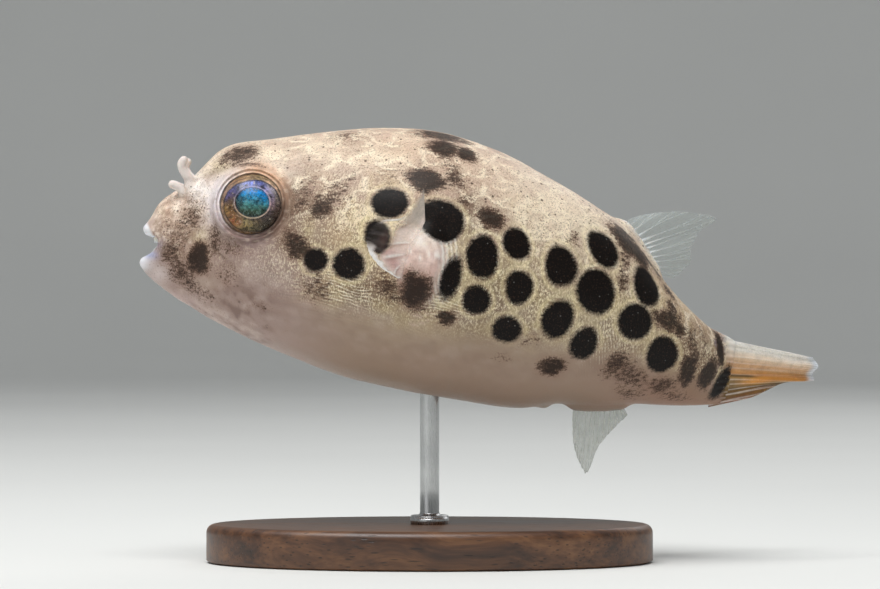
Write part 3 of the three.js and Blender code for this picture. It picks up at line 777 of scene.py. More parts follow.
# Colours of the skin from the belly at -1 to the back at 1: on the head, the trunk and the stalk. Their
# lower end is darkened as painted shade on the belly, which is paler in itself.
HEAD_COLOURS = {
    -1: "ad978e", -0.6: "a48e85", -0.3: "9d877e", 0: "a69085", 0.3: "c3ad9f", 0.6: "d8c5b4", 1: "dac4ae",
}
TRUNK_COLOURS = {
    -1: "a18b7a", -0.62: "a38d7c", -0.42: "a8947f", -0.2: "a9967f", 0.1: "b19f85", 0.4: "c0aa90",
    0.7: "d2b8a0", 1: "d8bea8",
}
STALK_COLOURS = {-1: "9a7b69", -0.55: "9c8270", -0.2: "b7a283", 0.3: "cbb48c", 1: "d0b794"}
# Colours of the fold of skin round the eye, by degrees from the rear.
FOLD_COLOURS = {
    0: "6a5345", 30: "b3917a", 60: "f4c8a6", 95: "eec29f", 125: "e6d0c2", 160: "f5ecef", 205: "ddd0d5",
    240: "a99390", 275: "877170", 320: "68524a", 360: "6a5345",
}
# Colours of the pectoral fin's base, by height.
BASE_COLOURS = {-0.8: "b0917f", 1: "c09c90", 3.2: "ecccc2", 6: "f4e0d7", 9: "f1e9df"}
# The rear edge of the upper lip's white: how far back it is, by height.
WEDGE = ([0.6, 1.6, 2.2, 3.1, 3.5], [1.7, 1.5, 0.6, 0.0, -0.3])
# Colours of the tail fin, from its upper edge at 0 to its lower edge at 1.
TAIL_BANDS = {
    0: "f6f2ea", 0.14: "f1e7da", 0.24: "ead0b6", 0.34: "d0a57f", 0.44: "c89460", 0.5: "bd8345",
    0.57: "b08b50", 0.68: "947747", 0.8: "6f5124", 0.92: "6c431f", 1: "80492c",
}
# Soft washes of colour: s, w, radius along, radius up, colour, share.
DABS = [
    # The first two whiten the skin between the nostril and the eye: pale skin, brightened further as a
    # painted highlight.
    (6.2, 8.4, 2.3, 2, "fbf4f1", 0.85), (4.4, 9.7, 1.6, 1.6, "f7f1ec", 0.8),
    (2.6, 7.2, 2, 1.6, "e2c9b6", 0.8), (3, 4.8, 1.6, 1.6, "d8bda9", 0.7),
    (8.6, 7.2, 1.5, 4, "efe5e7", 0.8), (8.6, 12.3, 1.6, 1.1, "f8e9c3", 0.8),
    (7.2, 2.9, 1.2, 0.9, "ddcfa5", 0.8), (5.5, 3.2, 1.6, 2.4, "a08775", 0.5),
    (4.2, -0.4, 1.7, 2.6, "957d70", 0.5), (9.2, 4, 1.6, 1.8, "a08a7a", 0.4),
    (12.2, 2.4, 3.6, 1.4, "876c6c", 0.7), (10.8, -2, 2.2, 1.6, "957a70", 0.5),
    (15.5, -0.4, 3.8, 1.8, "b3a098", 0.6), (9, -2.6, 2.2, 1.2, "b3a08f", 0.5),
    (19.4, 9.6, 2.8, 3.8, "5f4436", 0.92), (17.6, 9, 1, 2.6, "5f4436", 0.6),
    (17.8, 5.6, 1.8, 2.2, "644a3f", 0.85), (21.3, 12.4, 2.4, 2, "a98971", 0.6),
    (23.4, 7.6, 1.7, 2.4, "8f7565", 0.6), (20.9, 6, 0.8, 2, "e2d2a2", 0.7),
    (3.4, 6, 0.4, 1.1, "f6e8d8", 0.75), (2.5, 7.2, 0.35, 0.9, "f0dfcf", 0.7),
    (2.3, 5.7, 0.5, 1.3, "ab8974", 0.6), (4.4, 6.5, 0.5, 1.5, "a08674", 0.6),
    (23.6, 5, 3.6, 2.4, "7c6753", 0.7), (29.3, -0.2, 3, 2, "715d4c", 0.8),
    (40.6, 11, 2.2, 3.2, "5f4a3a", 0.95), (44.5, 3, 3.8, 6.4, "6f5946", 0.78),
    (55.5, 5.5, 6, 5, "97856a", 0.35), (69, -1, 3.5, 3, "80664a", 0.5), (62, -4.4, 3.2, 2, "80604f", 0.5),
    (67.4, -5.9, 3.2, 1.3, "88624f", 0.5), (24.8, 6, 1.8, 2, "c8ac8d", 0.5),
    (14.5, 15.5, 5, 1.4, "dcc6ae", 0.5), (13, 13.2, 4, 0.9, "f0e0cc", 0.5),
    (45, 17.5, 5, 2.4, "d6c0ae", 0.3), (51.5, 13.6, 5.5, 3.2, "f2e2c9", 0.75),
    (27, 16.5, 4, 1.4, "ead7bd", 0.5), (72, 3.2, 2, 2.4, "b59577", 0.5),
    (73, -5.6, 3, 1.8, "94744c", 0.4), (49.5, 17, 5, 2.2, "efe0cc", 0.4),
    (73.4, -1.4, 2.8, 4, "6f4c2c", 0.7), (56.5, 12, 5, 2.6, "f0e4ca", 0.6),
    (71.5, -6.8, 3, 1.2, "8d6955", 0.6), (2.6, -2.6, 1.6, 1.4, "dccdca", 0.8),
    (5.8, -5.4, 3.4, 1.4, "c0a8a2", 0.7),
]


def painted_ground(points):
    """The skin's plain colours without its spots, as linear colours."""
    s, y, w = points.T
    u = height_share(s, w) + 0.10 * (layered(points, 6.0, 31) - 0.5)
    # Clouds of warmer and paler skin over the back, and straw to a greyer rose along the flank.
    mottle, above = layered(points, 2.8, 41), smooth(-0.2, 0.5, u)
    hue, flank = layered(points, 3.6, 44), smooth(-0.5, -0.2, u) * smooth(0.85, 0.5, u) * smooth(16, 26, s)
    # The cheeks and the sides of the belly are blotched, finely and without edges.
    blotch, belly = layered(points, 1.5, 46), 0.25 * (u < 0) * smooth(-0.9, -0.5, u)
    low = smooth(3, 6, s) * np.maximum(smooth(21, 15, s) * smooth(0.4, 0.0, u), belly)
    streaks = roughness(points * (0.22, 1, 1.1), 1.1, 43)
    # The snout is freckled with brown and with cream.
    freckle = 0.6 * roughness(points, 0.75, 47) + 0.4 * roughness(points, 0.34, 48)
    snout = smooth(0.0, 1.0, s) * smooth(9.5, 6.5, s) * smooth(0.4, 1.2, w)
    # The lips are white in front: the upper one a wedge, the lower one paling into the chin.
    wedge = smooth(0.35, -0.2, s - np.interp(w, *WEDGE))
    paling = smooth(1.5, -0.1, s - 0.5 * np.clip(np.abs(y) / LIP["half"], 0, 1) ** 2)
    lips = np.where(w > LIP["middle"], wedge, paling)
    pocket = smooth(1.2, 2.2, s) * (np.hypot(y / 2.7, (w - LIP["middle"]) / 1.7) < 1)
    ground = wash(
        # The ground runs from painted shade on the belly up to the pale back.
        stops(u, HEAD_COLOURS),
        (stops(u, TRUNK_COLOURS), smooth(17, 31, s)),
        (stops(u, STALK_COLOURS), smooth(56, 68, s)),
        ("b49c8b", 0.5 * above * smooth(0.50, 0.68, mottle)),
        ("f3e2c8", 0.5 * above * smooth(0.50, 0.32, mottle)),
        ("d8c383", 0.3 * flank * smooth(0.52, 0.68, hue)),
        ("b59c90", 0.5 * flank * smooth(0.46, 0.3, hue)),
        ("755c53", 0.65 * low * smooth(0.5, 0.7, blotch)),
        ("cfbcb2", 0.5 * low * smooth(0.48, 0.3, blotch)),
        ("9c8577", 0.18 * smooth(0.55, 0.9, streaks)),
        *((code, share * bump_at(s, w, *dab)) for *dab, code, share in DABS),
        ("7f6351", 0.38 * snout * smooth(0.53, 0.68, freckle)),
        ("fbeadb", 0.5 * snout * smooth(0.45, 0.3, freckle)),
        # Painted shade in the cheek fold and in the furrow from the nose under the brow.
        ("5c453b", 0.8 * crease(s, w, *CHEEK_FOLD, 0.2)),
        ("7c665b", 0.5 * crease(s, w, *NOSE_FURROW, 0.4)),
        ("e9e8ec", lips * smooth(3.9, 2.6, np.abs(w - 0.6))),
        # Painted shade at the mouth's corner, just behind it and deep in its pocket, and a painted lilac
        # highlight on the inner edge of the lower lip.
        ("857b88", 0.85 * bump_at(s, w, 2.0, 0.9, 0.9, 0.9)),
        ("9ba2c6", 0.85 * bump_at(s, w, 0.9, -0.45, 1.2, 0.55)),
        ("4c3a34", 0.6 * bump_at(s, w, 3.0, 0.35, 0.5, 0.7)),
        ("55536e", pocket),
    )
    return paint_fins(paint_eye_fold(ground, points), points)


def paint_eye_fold(ground, points):
    """The folds of skin round each eye: pale in front, tan above, brown below, with painted shade in their
    grooves and where they meet the eye.
    """
    s, _, w = points.T
    off = off_eye(s, w) + 0.22 * (layered(points, 1.7, 72) - 0.5)
    off = off + 0.16 * (roughness(points, 0.55, 74) - 0.5)
    turn = np.degrees(np.arctan2(w - EYE["w"], s - EYE["s"])) % 360
    near, fleck = smooth(6.2, 4.8, off), roughness(points, 0.5, 75)
    grooves = (0.15 + 0.5 * layered(points, 1.3, 73)) * (hump(off, 4.38, 0.13) + 0.6 * hump(off, 5.0, 0.22))
    return wash(
        ground,
        (stops(turn, FOLD_COLOURS), 0.85 * near),
        ("fff2de", 0.2 * near * smooth(0.6, 0.8, fleck)),
        ("6b5347", 0.4 * near * smooth(0.4, 0.2, fleck)),
        # Painted shade in the grooves between the folds, and darker painted shade at the socket's edge.
        ("6b544a", np.clip(grooves, 0, 1)),
        ("3a2c25", 0.75 * smooth(4.08, 3.96, off)),
    )


def paint_fins(ground, points):
    """Pale flesh at the roots of the fins, and the root of the tail fin over the end of the stalk."""
    s, y, w = points.T
    fold = pectoral_fold(s, w)
    on_base = smooth(1.1, 0.9, fold)
    crinkle = roughness(points * (1.0, 1.0, 0.55), 0.45, 76)
    rear = smooth(-0.35, 0.15, (s - PECTORAL["s"]) / PECTORAL["half_s"]) * smooth(0.55, 0.75, fold)
    ridges = pectoral_ridges(fold)
    crest = smooth(0.0, 0.9, ridges) * smooth(-1.0, 1.5, w)
    top = hump(y, 0, 0.95) * (w > 3) * smooth(59.6, 60.8, s) * smooth(66.8, 65.6, s)
    under = hump(y, 0, 0.9) * (w < -3) * smooth(57.4, 58.6, s) * smooth(65.6, 64.4, s)
    stripe = crease(s, w, (76.6, 1.8), (75.0, -5.4), 0.22) * (s > 70)
    share, rays = np.clip((w - 1.8) / -9.0, 0, 1), tail_rays(s, w)
    tail_root = smooth(76.3, 77.5, s + 0.15 * (w + 2.7) + 0.4 * rays)
    lower = smooth(0.54, 0.6, share)
    return wash(
        ground,
        (stops(w, BASE_COLOURS), 0.92 * smooth(1.22, 1.0, fold)),
        ("fffaf3", 0.6 * on_base * smooth(0.58, 0.75, crinkle)),
        ("b78f85", 0.5 * on_base * smooth(0.44, 0.28, crinkle)),
        # Painted shade in the furrows between the base's ridges, then white on their crests.
        ("c9aea4", 0.55 * rear * smooth(0.2, -0.8, ridges)),
        ("fffaf2", rear * np.sqrt(crest) * smooth(1.6, 1.35, fold)),
        ("6e3a2e", 0.85 * bump_at(s, w, 35.6, 1.2, 2.2, 2.2)),
        ("eef0ee", 0.9 * top),
        ("a99c93", 0.6 * under),
        ("b5a7a6", 0.7 * stripe),
        (stops(share, TAIL_BANDS), tail_root),
        ("f4ece6", (0.3 - 0.1 * lower) * smooth(0.2, 1, rays) * tail_root),
        ("6a5738", (0.15 + 0.3 * lower) * smooth(0.6, -1, rays) * tail_root),
    )


SPOT_WOBBLE, MARK_WOBBLE = (0.01, 0.035), (0.02, 0.07)  # how far from oval a spot or mark may be
SHARED = 4  # this near the midline the skin takes the marks of both sides
CREST_ROOM = 0.5  # a mark's middle stays this far under the crest, where the flank still has a slope
STEP = 0.05  # between the places that give the flank's directions


def mark_distance(points, spot, side, wobble):
    """Signed distance of every point from the edge of a spot that lies on the skin, negative inside."""
    s, w, along, upright, tilt = spot
    w = min(w, form(BACK, s) - CREST_ROOM)
    ahead, rise = (
        flank_point(s + ds, w + dw, side) - flank_point(s - ds, w - dw, side)
        for ds, dw in ((STEP, 0), (0, STEP))
    )
    ahead = unit(ahead)
    rise = unit(rise - ahead * (rise @ ahead))
    off = points - flank_point(s, w, side)
    a, b, c = off @ ahead, off @ rise, off @ np.cross(ahead, rise)
    turn = math.radians(tilt)
    a, b = a * math.cos(turn) + b * math.sin(turn), b * math.cos(turn) - a * math.sin(turn)
    shape = 1 + wobble[0] * np.cos(3 * np.arctan2(b / upright, a / along) + wobble[1])
    reach = np.sqrt((a / along) ** 2 + (b / upright) ** 2 + (c / (1.2 * max(along, upright))) ** 2)
    return (reach / shape - 1) * min(along, upright)


def side_spots(spots, side, rng):
    """The spots of one side. The right side's are those of the left, shifted and resized a little."""
    if side == LEFT:
        return spots
    moved = []
    for s, w, along, upright, *rest in spots:
        reach = 0.3 if s < 6 or s > 68 else 0.75
        shift = rng.uniform(-reach, reach, 2)
        size = rng.uniform(0.82, 1.08)
        moved.append((s + shift[0], w + shift[1], along * size, upright * size, *rest))
    return moved


def markings(points):
    """Distance from the black spots' edges, the strength of the brown marks, and of the tan skin
    round them, at each point."""
    rng = np.random.default_rng(7)
    side = np.where(points[:, 1] > 0, RIGHT, LEFT)
    black = np.full(len(points), 3.0)
    brown, halo = np.zeros((2, len(points)))
    ragged = layered(points, 1.5, 81) - 0.5
    for which in (LEFT, RIGHT):
        here = np.flatnonzero((side == which) | (np.abs(points[:, 1]) < SHARED))
        near = points[here]
        for spot in side_spots(BLACK_SPOTS, which, rng):
            wobble = (rng.uniform(*SPOT_WOBBLE), rng.uniform(0, 6.3))
            black[here] = np.minimum(black[here], mark_distance(near, spot, which, wobble))
        for *spot, strength in side_spots(BROWN_MARKS, which, rng):
            wobble = (rng.uniform(*MARK_WOBBLE), rng.uniform(0, 6.3))
            small = min(spot[2], spot[3])
            edge = mark_distance(near, spot, which, wobble)
            away = edge + (1.3 - 0.6 * strength) * small * ragged[here]
            fade = (1.3 - 0.65 * strength) * small
            brown[here] = np.maximum(brown[here], strength * smooth(fade, -fade, away))
            halo[here] = np.maximum(halo[here], strength * smooth(1.5, -0.4, edge))
    top = smooth(6.0, 4.0, form(BACK, points[:, 0]) - points[:, 2])
    for s, y, along, across, strength in BACK_MARKS:
        away = np.hypot((points[:, 0] - s) / along, (points[:, 1] - y) / across) + 0.8 * ragged
        brown = np.maximum(brown, strength * smooth(1.4, 0.6, away) * top)
    return np.clip(black, -3, 3), brown, np.clip(halo, 0, 1)


def flow_fields(points):
    """Where fine folds run: across-the-fold places in millimetres, and the strength of each set."""
    s, _, w = points.T
    warp = 1.5 * layered(points, 4.5, 51) + 0.5 * layered(points, 1.6, 52)
    level = w + 0.08 * s + warp
    upright = s + 0.25 * w + 0.8 * layered(points, 3.5, 53)
    cheek, under_fin = bump_at(s, w, 26.0, -0.6, 6.0, 2.6), bump_at(s, w, 39.5, -0.2, 4.5, 2.2)
    belly_side = 0.3 * smooth(18, 26, s) * smooth(60, 50, s) * hump(w, -3.0, 2.4)
    back = 0.35 * bump_at(s, w, 18, 14.5, 8, 2.8)
    level_strength = np.clip(np.maximum.reduce([cheek, under_fin, belly_side, back]), 0, 1)
    # An oval of rings on the cheek.
    oval = np.hypot((s - 17.3) / 2.0, (w - 0.5) / 1.1)
    level = np.where(oval < 1.2, 1.5 * oval, level)
    rings = 0.4 * smooth(1.2, 0.9, oval) * smooth(0.1, 0.3, oval)
    level_strength = np.where(oval < 1.2, rings, level_strength * smooth(1.2, 1.7, oval))
    rear = bump_at(s, w, 60, -1.0, 5.5, 5.0)
    return level, level_strength, upright, np.clip(0.7 * rear, 0, 1)


SKIN_FIELDS = (
    "spot", "blotch", "pepper", "grain_glints", "net", "wisp", "level", "level_share", "upright",
    "upright_share",
)


def mottled_skin(m, place, look, field):
    """The skin between its marks: net, grains, specks and fine folds washed over its ground. Gives
    its colour, and the patterns that the marks and the relief share."""
    speck, net, gap = look.speck_size / MM, look.net_size / MM, look.fold_gap / MM
    grain = put(m, "TexNoise", {"Vector": place, "Scale": 1 / speck, "Detail": 2.0})
    cloud = put(m, "TexNoise", {"Vector": place, "Scale": 1 / 2.2, "Detail": 4.0})
    drawn = put(m, "Mapping", {"Vector": place, "Scale": (0.3, 0.8, 1.0)})
    streak = put(m, "TexNoise", {"Vector": drawn, "Scale": 1 / 0.34, "Detail": 3.0})
    # The net of the back: pale lines round rosy cells, bent so that no cell is straight sided.
    bent = put(m, "VectorMath", {0: cloud, "Scale": 1.9}, operation="SCALE")
    moved = put(m, "VectorMath", {0: place, 1: bent}, operation="ADD")
    long = put(m, "Mapping", {"Vector": moved, "Scale": (0.62, 1.0, 1.0)})
    cells = put(
        m, "TexVoronoi", {"Vector": long, "Scale": 1 / net}, feature="DISTANCE_TO_EDGE", out="Distance"
    )
    rosy = put(m, "Math", {0: field["net"], 1: 0.62}, operation="MULTIPLY")
    broken = put(m, "MapRange", {0: cloud, 1: 0.40, 2: 0.56, 4: field["net"]}, **EASED)
    # The flank's bright grains, partly pigment and partly painted glints: short crooked strokes, thicker
    # here and thinner there.
    strokes = put(m, "Mapping", {"Vector": moved, "Scale": (1.0, 1.0, 0.5)})
    grain_glint_strokes = put(m, "TexNoise", {"Vector": strokes, "Scale": 1 / (0.95 * speck), "Detail": 2.0})
    patch = put(m, "MapRange", {0: cloud, 1: 0.36, 2: 0.58, 3: 0.5, 4: 1.0})
    grain_glint_share = put(m, "Math", {0: patch, 1: field["grain_glints"]}, operation="MULTIPLY")
    # Dark specks, one to a cell of 0.9 mm, and some cells without one.
    dots = put(m, "TexVoronoi", {"Vector": place, "Scale": 1 / 0.9}, feature="F1", out="Distance")
    chance = put(m, "SeparateColor", {0: dots.node.outputs["Color"]})
    size = put(m, "MapRange", {0: chance, 1: 0.25, 2: 1.0, 3: 0.02, 4: 0.22})
    dot = put(m, "Math", {0: dots, 1: size}, operation="SUBTRACT")
    # Fine folds: two sets of waves, broken up along their length.
    level = put(m, "Math", {0: field["level"], 1: 2 * math.pi / gap}, operation="MULTIPLY")
    upright = put(m, "Math", {0: field["upright"], 1: 2 * math.pi / (0.85 * gap)}, operation="MULTIPLY")
    waves = [
        put(m, "Math", {0: put(m, "Math", {0: phase}, operation="SINE"), 1: share}, operation="MULTIPLY")
        for phase, share in ((level, field["level_share"]), (upright, field["upright_share"]))
    ]
    both = put(m, "Math", {0: waves[0], 1: waves[1]}, operation="ADD")
    whole = put(m, "MapRange", {0: streak, 1: 0.32, 2: 0.6})
    folds = put(m, "Math", {0: both, 1: whole}, operation="MULTIPLY")
    # Each wash follows a pattern between two of its values, up to a share, in a colour.
    washes = (
        (cells, 0.10, 0.40, rosy, look.cell),
        (cells, 0.14, 0.03, broken, look.net),
        (streak, 0.55, 0.72, field["wisp"], look.net),
        (streak, 0.45, 0.30, field["wisp"], look.speck),
        (grain_glint_strokes, 0.51, 0.62, grain_glint_share, look.grain_glints),
        (grain_glint_strokes, 0.48, 0.35, grain_glint_share, linear("75634e")),
        (grain, 0.56, 0.70, field["pepper"], look.speck),
        (dot, 0.03, -0.06, field["pepper"], linear("4a372c")),
        # The fine folds' pale crests and dark troughs: partly the skin's own lines, partly painted light
        # and shade.
        (folds, 0.15, 0.85, 0.75, linear("f7ecd6")),
        (folds, -0.15, -0.9, 0.42, linear("6f5c4d")),
    )
    colour = put(m, "Attribute", attribute_name="ground", out="Color")
    for value, low, high, most, paint in washes:
        share = put(m, "MapRange", {0: value, 1: low, 2: high, 4: most}, **EASED)
        colour = put(m, "Mix", {0: share, 6: colour, 7: rgba(paint)}, out=2, data_type="RGBA")
    # A cream rim round each black spot.
    far = put(m, "MapRange", {0: field["spot"], 1: 0.95, 2: 0.5, 4: 0.5}, **EASED)
    thin = put(m, "Math", {0: far, 1: grain_glint_share}, operation="MULTIPLY")
    rim = put(m, "MapRange", {0: field["spot"], 1: 0.1, 2: 0.45, 4: thin}, **EASED)
    colour = put(m, "Mix", {0: rim, 6: colour, 7: rgba(look.rim)}, out=2, data_type="RGBA")
    return colour, grain, streak, folds


def marked_skin(m, place, look, field, colour, grain, streak):
    """Brown marks and black spots over the skin, with painted glints on prickle tips in the spots. Gives
    its colour, and the prickles' tips.
    """
    # Brown marks: the pigment thins out to specks and streaks at their edges.
    mixed = put(m, "Math", {0: grain, 1: 0.9, 2: streak}, operation="MULTIPLY_ADD")
    off = put(m, "Math", {0: mixed, 1: 0.95}, operation="SUBTRACT")
    dense = put(m, "Math", {0: off, 1: 1.3, 2: field["blotch"]}, operation="MULTIPLY_ADD")
    inked = put(m, "MapRange", {0: field["blotch"], 1: 0.0, 2: 0.2, 4: 0.95})
    cover = put(m, "MapRange", {0: dense, 1: 0.08, 2: 0.72, 4: inked}, **EASED)
    browns = [(0.15, look.mark_thin), (0.5, look.mark), (1.0, look.mark_deep)]
    brown = put(m, "ValToRGB", {0: dense}, ramp=browns)
    colour = put(m, "Mix", {0: cover, 6: colour, 7: brown}, out=2, data_type="RGBA")
    # Black spots, ragged by the same specks, brown at the edge and with painted glints on prickle tips here
    # and there.
    edge = put(m, "Math", {0: off, 1: 0.55, 2: field["spot"]}, operation="MULTIPLY_ADD")
    black = put(m, "ValToRGB", {0: edge}, ramp=[(0.0, look.spot), (0.3, linear("4a3426"))])
    prickles = put(m, "TexVoronoi", {"Vector": place, "Scale": 1 / 0.85}, feature="F1", out="Distance")
    which = put(m, "SeparateColor", {0: prickles.node.outputs["Color"]})
    rare = put(m, "MapRange", {0: which, 1: 0.35, 2: 0.5})
    tips = put(m, "MapRange", {0: prickles, 1: 0.15, 2: 0.05, 4: rare}, **EASED)
    glint = put(m, "Math", {0: tips, 1: 0.5}, operation="MULTIPLY")
    black = put(m, "Mix", {0: glint, 6: black, 7: (*linear("8f8c88"), 1)}, out=2, data_type="RGBA")
    dusty = put(m, "MapRange", {0: grain, 1: 0.55, 2: 0.75, 4: 0.5})
    black = put(m, "Mix", {0: dusty, 6: black, 7: (*linear("4a3427"), 1)}, out=2, data_type="RGBA")
    inside = put(m, "MapRange", {0: edge, 1: 0.40, 2: -0.26}, **EASED)
    colour = put(m, "Mix", {0: inside, 6: colour, 7: black}, out=2, data_type="RGBA")
    return colour, tips


def skin_material(look):
    """Painted silicone skin over foam, as a museum model has: satin and faintly see-through, with
    pigment specks a fifth of a millimetre across and the fine grain of scaleless fish skin."""
    m, place = new_material("silicone_fish_skin")
    field = {name: put(m, "Attribute", attribute_name=name, out="Fac") for name in SKIN_FIELDS}
    colour, grain, streak, folds = mottled_skin(m, place, look, field)
    colour, tips = marked_skin(m, place, look, field, colour, grain, streak)
    # Relief: leather grain, folds, and the raised tips of the prickles.
    leather = put(m, "TexNoise", {"Vector": place, "Scale": 1 / 0.28, "Detail": 3.0, "Roughness": 0.6})
    height = put(m, "Math", {0: leather, 1: 0.5, 2: folds}, operation="MULTIPLY_ADD")
    height = put(m, "Math", {0: tips, 1: 0.5, 2: height}, operation="MULTIPLY_ADD")
    bump = put(m, "Bump", {"Height": height, "Strength": 0.5, "Distance": look.grain_depth})
    low, high = look.roughness - 0.07, look.roughness + 0.07
    return finish_material(
        m,
        Base_Color=colour,
        Roughness=put(m, "MapRange", {0: leather, 1: 0.3, 2: 0.7, 3: low, 4: high}),
        IOR=1.41,
        Specular_IOR_Level=0.22,
        Normal=bump,
        Subsurface_Weight=0.12,
        Subsurface_Radius=(1.0, 0.45, 0.3),
        Subsurface_Scale=0.0006,
        Coat_Weight=0.02,
        Coat_Roughness=0.25,
    )


class PufferSkin(bpy.types.PropertyGroup):
    spot: colour_setting("Spot", "Black of the round spots", "0a0503")
    mark: colour_setting("Mark", "Brown of the soft marks", "60493c")
    mark_deep: colour_setting("Deep mark", "Brown where a mark is darkest", "21150f")
    mark_thin: colour_setting("Thin mark", "Brown where a mark thins out", "8b6e5b")
    net: colour_setting("Net", "Cream of the fine net of lines", "f5e4cb")
    cell: colour_setting("Cell", "Rosy tan inside the net's cells", "bfa494")
    # The bright grains are partly painted glints.
    grain_glints: colour_setting("Glitter", "Straw of the flank's bright grains", "f2e6c6")
    rim: colour_setting("Rim", "Cream round each black spot", "ebdcae")
    speck: colour_setting("Speck", "Brown of the pigment specks", "836b5a")
    speck_size: length_setting("Speck size", "Width of one pigment speck", 0.19)
    net_size: length_setting("Net size", "Width of one cell of the net", 2.3)
    fold_gap: length_setting("Fold gap", "From one fine fold to the next", 0.42)
    grain_depth: length_setting("Grain depth", "Depth of the skin's grain", 0.06)
    roughness: share_setting("Roughness", "How dull the skin is", 0.46)


class PUFFER_OT_skin(bpy.types.Operator):
    """One skin over the head, jaw, trunk, belly, tail stalk, lips and the fins' fleshy roots"""

    bl_idname = "puffer.skin"
    bl_label = "Skin"

    def execute(self, context):
        puffer = Puffer()
        skin = new_mesh("skin", settle(puffer.points), [*puffer.quads.tolist(), *puffer.triangles])
        black, brown, halo = markings(puffer.plain)
        mottle = smooth(0.48, 0.75, layered(puffer.plain, 1.1, 45))
        ground = wash(
            painted_ground(puffer.plain),
            ("9c8271", 0.45 * halo),
            ("e6dcd6", 0.9 * puffer.feeler),
            ("a5948a", 0.5 * mottle * puffer.feeler),
        )
        store(skin, "ground", ground)
        for name, values in self.fields(puffer, black, brown).items():
            store(skin, name, values)
        self.lay_flat(skin, puffer)
        dress(skin, skin_material(context.scene.puffer_skin), SKIN_NODES)
        return {"FINISHED"}

    def fields(self, puffer, black, brown):
        """How much of each pattern there is at each point."""
        s, _, w = puffer.plain.T
        u = height_share(s, w)
        level, level_share, upright, upright_share = flow_fields(puffer.plain)
        clear = smooth(4.4, 6.2, off_eye(s, w))
        bare = 1 - 0.85 * smooth(1.15, 0.9, pectoral_fold(s, w))
        plain = (1 - puffer.feeler) * smooth(0.2, 1.4, s) * smooth(77.4, 76.4, s)
        upper = smooth(-0.35, 0.15, u)
        head = smooth(24, 12, s)
        freckled = np.maximum(upper * (0.5 + 0.35 * smooth(0.1, 0.6, u)), 0.45 * head)
        grainy = smooth(-0.5, -0.12, u) * (1 - 0.5 * smooth(0.3, 0.75, u))
        shares = {
            "pepper": plain * (0.5 + 0.5 * clear) * bare * freckled,
            "grain_glints": 0.78 * plain * clear * bare * (1 - 0.7 * head) * grainy,
            "net": plain * clear * 0.8 * smooth(0.12, 0.5, u) * smooth(9, 16, s),
            "wisp": plain * (0.55 + 0.45 * clear) * 0.38 * smooth(-0.5, 0.2, u) * (0.35 + 0.65 * head),
            "level_share": level_share * clear * bare * plain,
            "upright_share": upright_share * plain,
        }
        marks = {"spot": black + 3 * puffer.feeler, "blotch": brown * (1 - puffer.feeler)}
        return {**marks, **shares, "level": level, "upright": upright}

    def lay_flat(self, skin, puffer):
        """Lays the skin out flat, slit along the belly."""
        layer = skin.data.uv_layers.new(name="OFBake")
        corners = np.empty(len(skin.data.loops), np.int64)
        skin.data.loops.foreach_get("vertex_index", corners)
        uv = puffer.uv[corners]
        quads = 4 * len(puffer.quads)
        for part, size in ((slice(0, quads), 4), (slice(quads, None), 3)):
            across = uv[part, 1].reshape(-1, size)
            slit = np.ptp(across, axis=1) > 0.5
            across = np.where(slit[:, None] & (across < 0.5), across + 1, across)
            uv[part, 1] = across.ravel()
        room = 1.02
        uv = uv / (puffer.lengths[-1] * room, room) + 0.005
        layer.data.foreach_set("uv", uv.astype(np.float32).ravel())


# ---------- eyes
PUPIL = dict(level=0.22, upright=0.1, half_level=2.1, half_upright=1.88)  # its middle and its radii
IRIS_EDGE, IRIS_RINGS, IRIS_SPOKES = 3.93, 62, 240
CORNEA_EDGE, CORNEA_RINGS, CORNEA_SPOKES = 3.97, 26, 96

# Colours round the iris, by degrees from the rear: near the pupil, and out by the orbit.
IRIS_INNER = {
    0: "987c80", 25: "afa1ba", 50: "9390b4", 75: "6d76be", 100: "5468b8", 125: "8184a8", 148: "5a5a88",
    170: "57495c", 190: "6e5438", 215: "70502e", 240: "785a34", 265: "847650", 290: "65563a",
    315: "483a2f", 340: "57463f", 360: "987c80",
}
IRIS_OUTER = {
    0: "5b4840", 25: "766e6c", 50: "98919c", 75: "7a7484", 100: "716a85", 120: "5a5060", 140: "5e5f94",
    165: "595b97", 182: "6a5a60", 200: "a17e4a", 222: "805a32", 240: "96622e", 258: "94794a",
    280: "75663f", 305: "3b3020", 330: "32281f", 360: "5b4840",
}
# The lid's inner fold lies over the iris: how far in it comes, in millimetres, and its colours.
LID_EDGE = {
    0: 3.74, 25: 3.6, 45: 3.4, 79: 3.02, 105: 2.84, 126: 2.82, 150: 3.08, 166: 3.3, 212: 3.42, 250: 3.52,
    283: 3.5, 320: 3.8, 360: 3.74,
}
LID_COLOURS = {
    0: "98806f", 25: "c4a890", 50: "ecc8a8", 80: "b89d75", 105: "c0a07a", 130: "b9926f", 155: "bd9f8b",
    180: "b59479", 205: "ad8c70", 235: "93806b", 260: "a57c54", 285: "57432f", 320: "66544b",
    360: "98806f",
}
IRIS_RING = {
    0: "e8cfbe", 60: "cdbfe0", 110: "8f92cc", 150: "8d8aa6", 180: "cabfc8", 220: "efd3b4", 290: "f7e0c2",
    360: "e8cfbe",
}
# The lens's painted reflection, from the bottom of the pupil at -1 to its top at 1.
PUPIL_COLOURS = {-1: "1f2c22", -0.6: "2f4431", -0.2: "3d7270", 0.2: "1d7195", 0.6: "006aa6", 1: "005ea2"}


def in_pupil(a, b):
    """Places by the pupil's own widths: level, upright, and out from its middle, 1 at its edge."""
    pa, pb = (a - PUPIL["level"]) / PUPIL["half_level"], (b - PUPIL["upright"]) / PUPIL["half_upright"]
    return pa, pb, np.hypot(pa, pb)


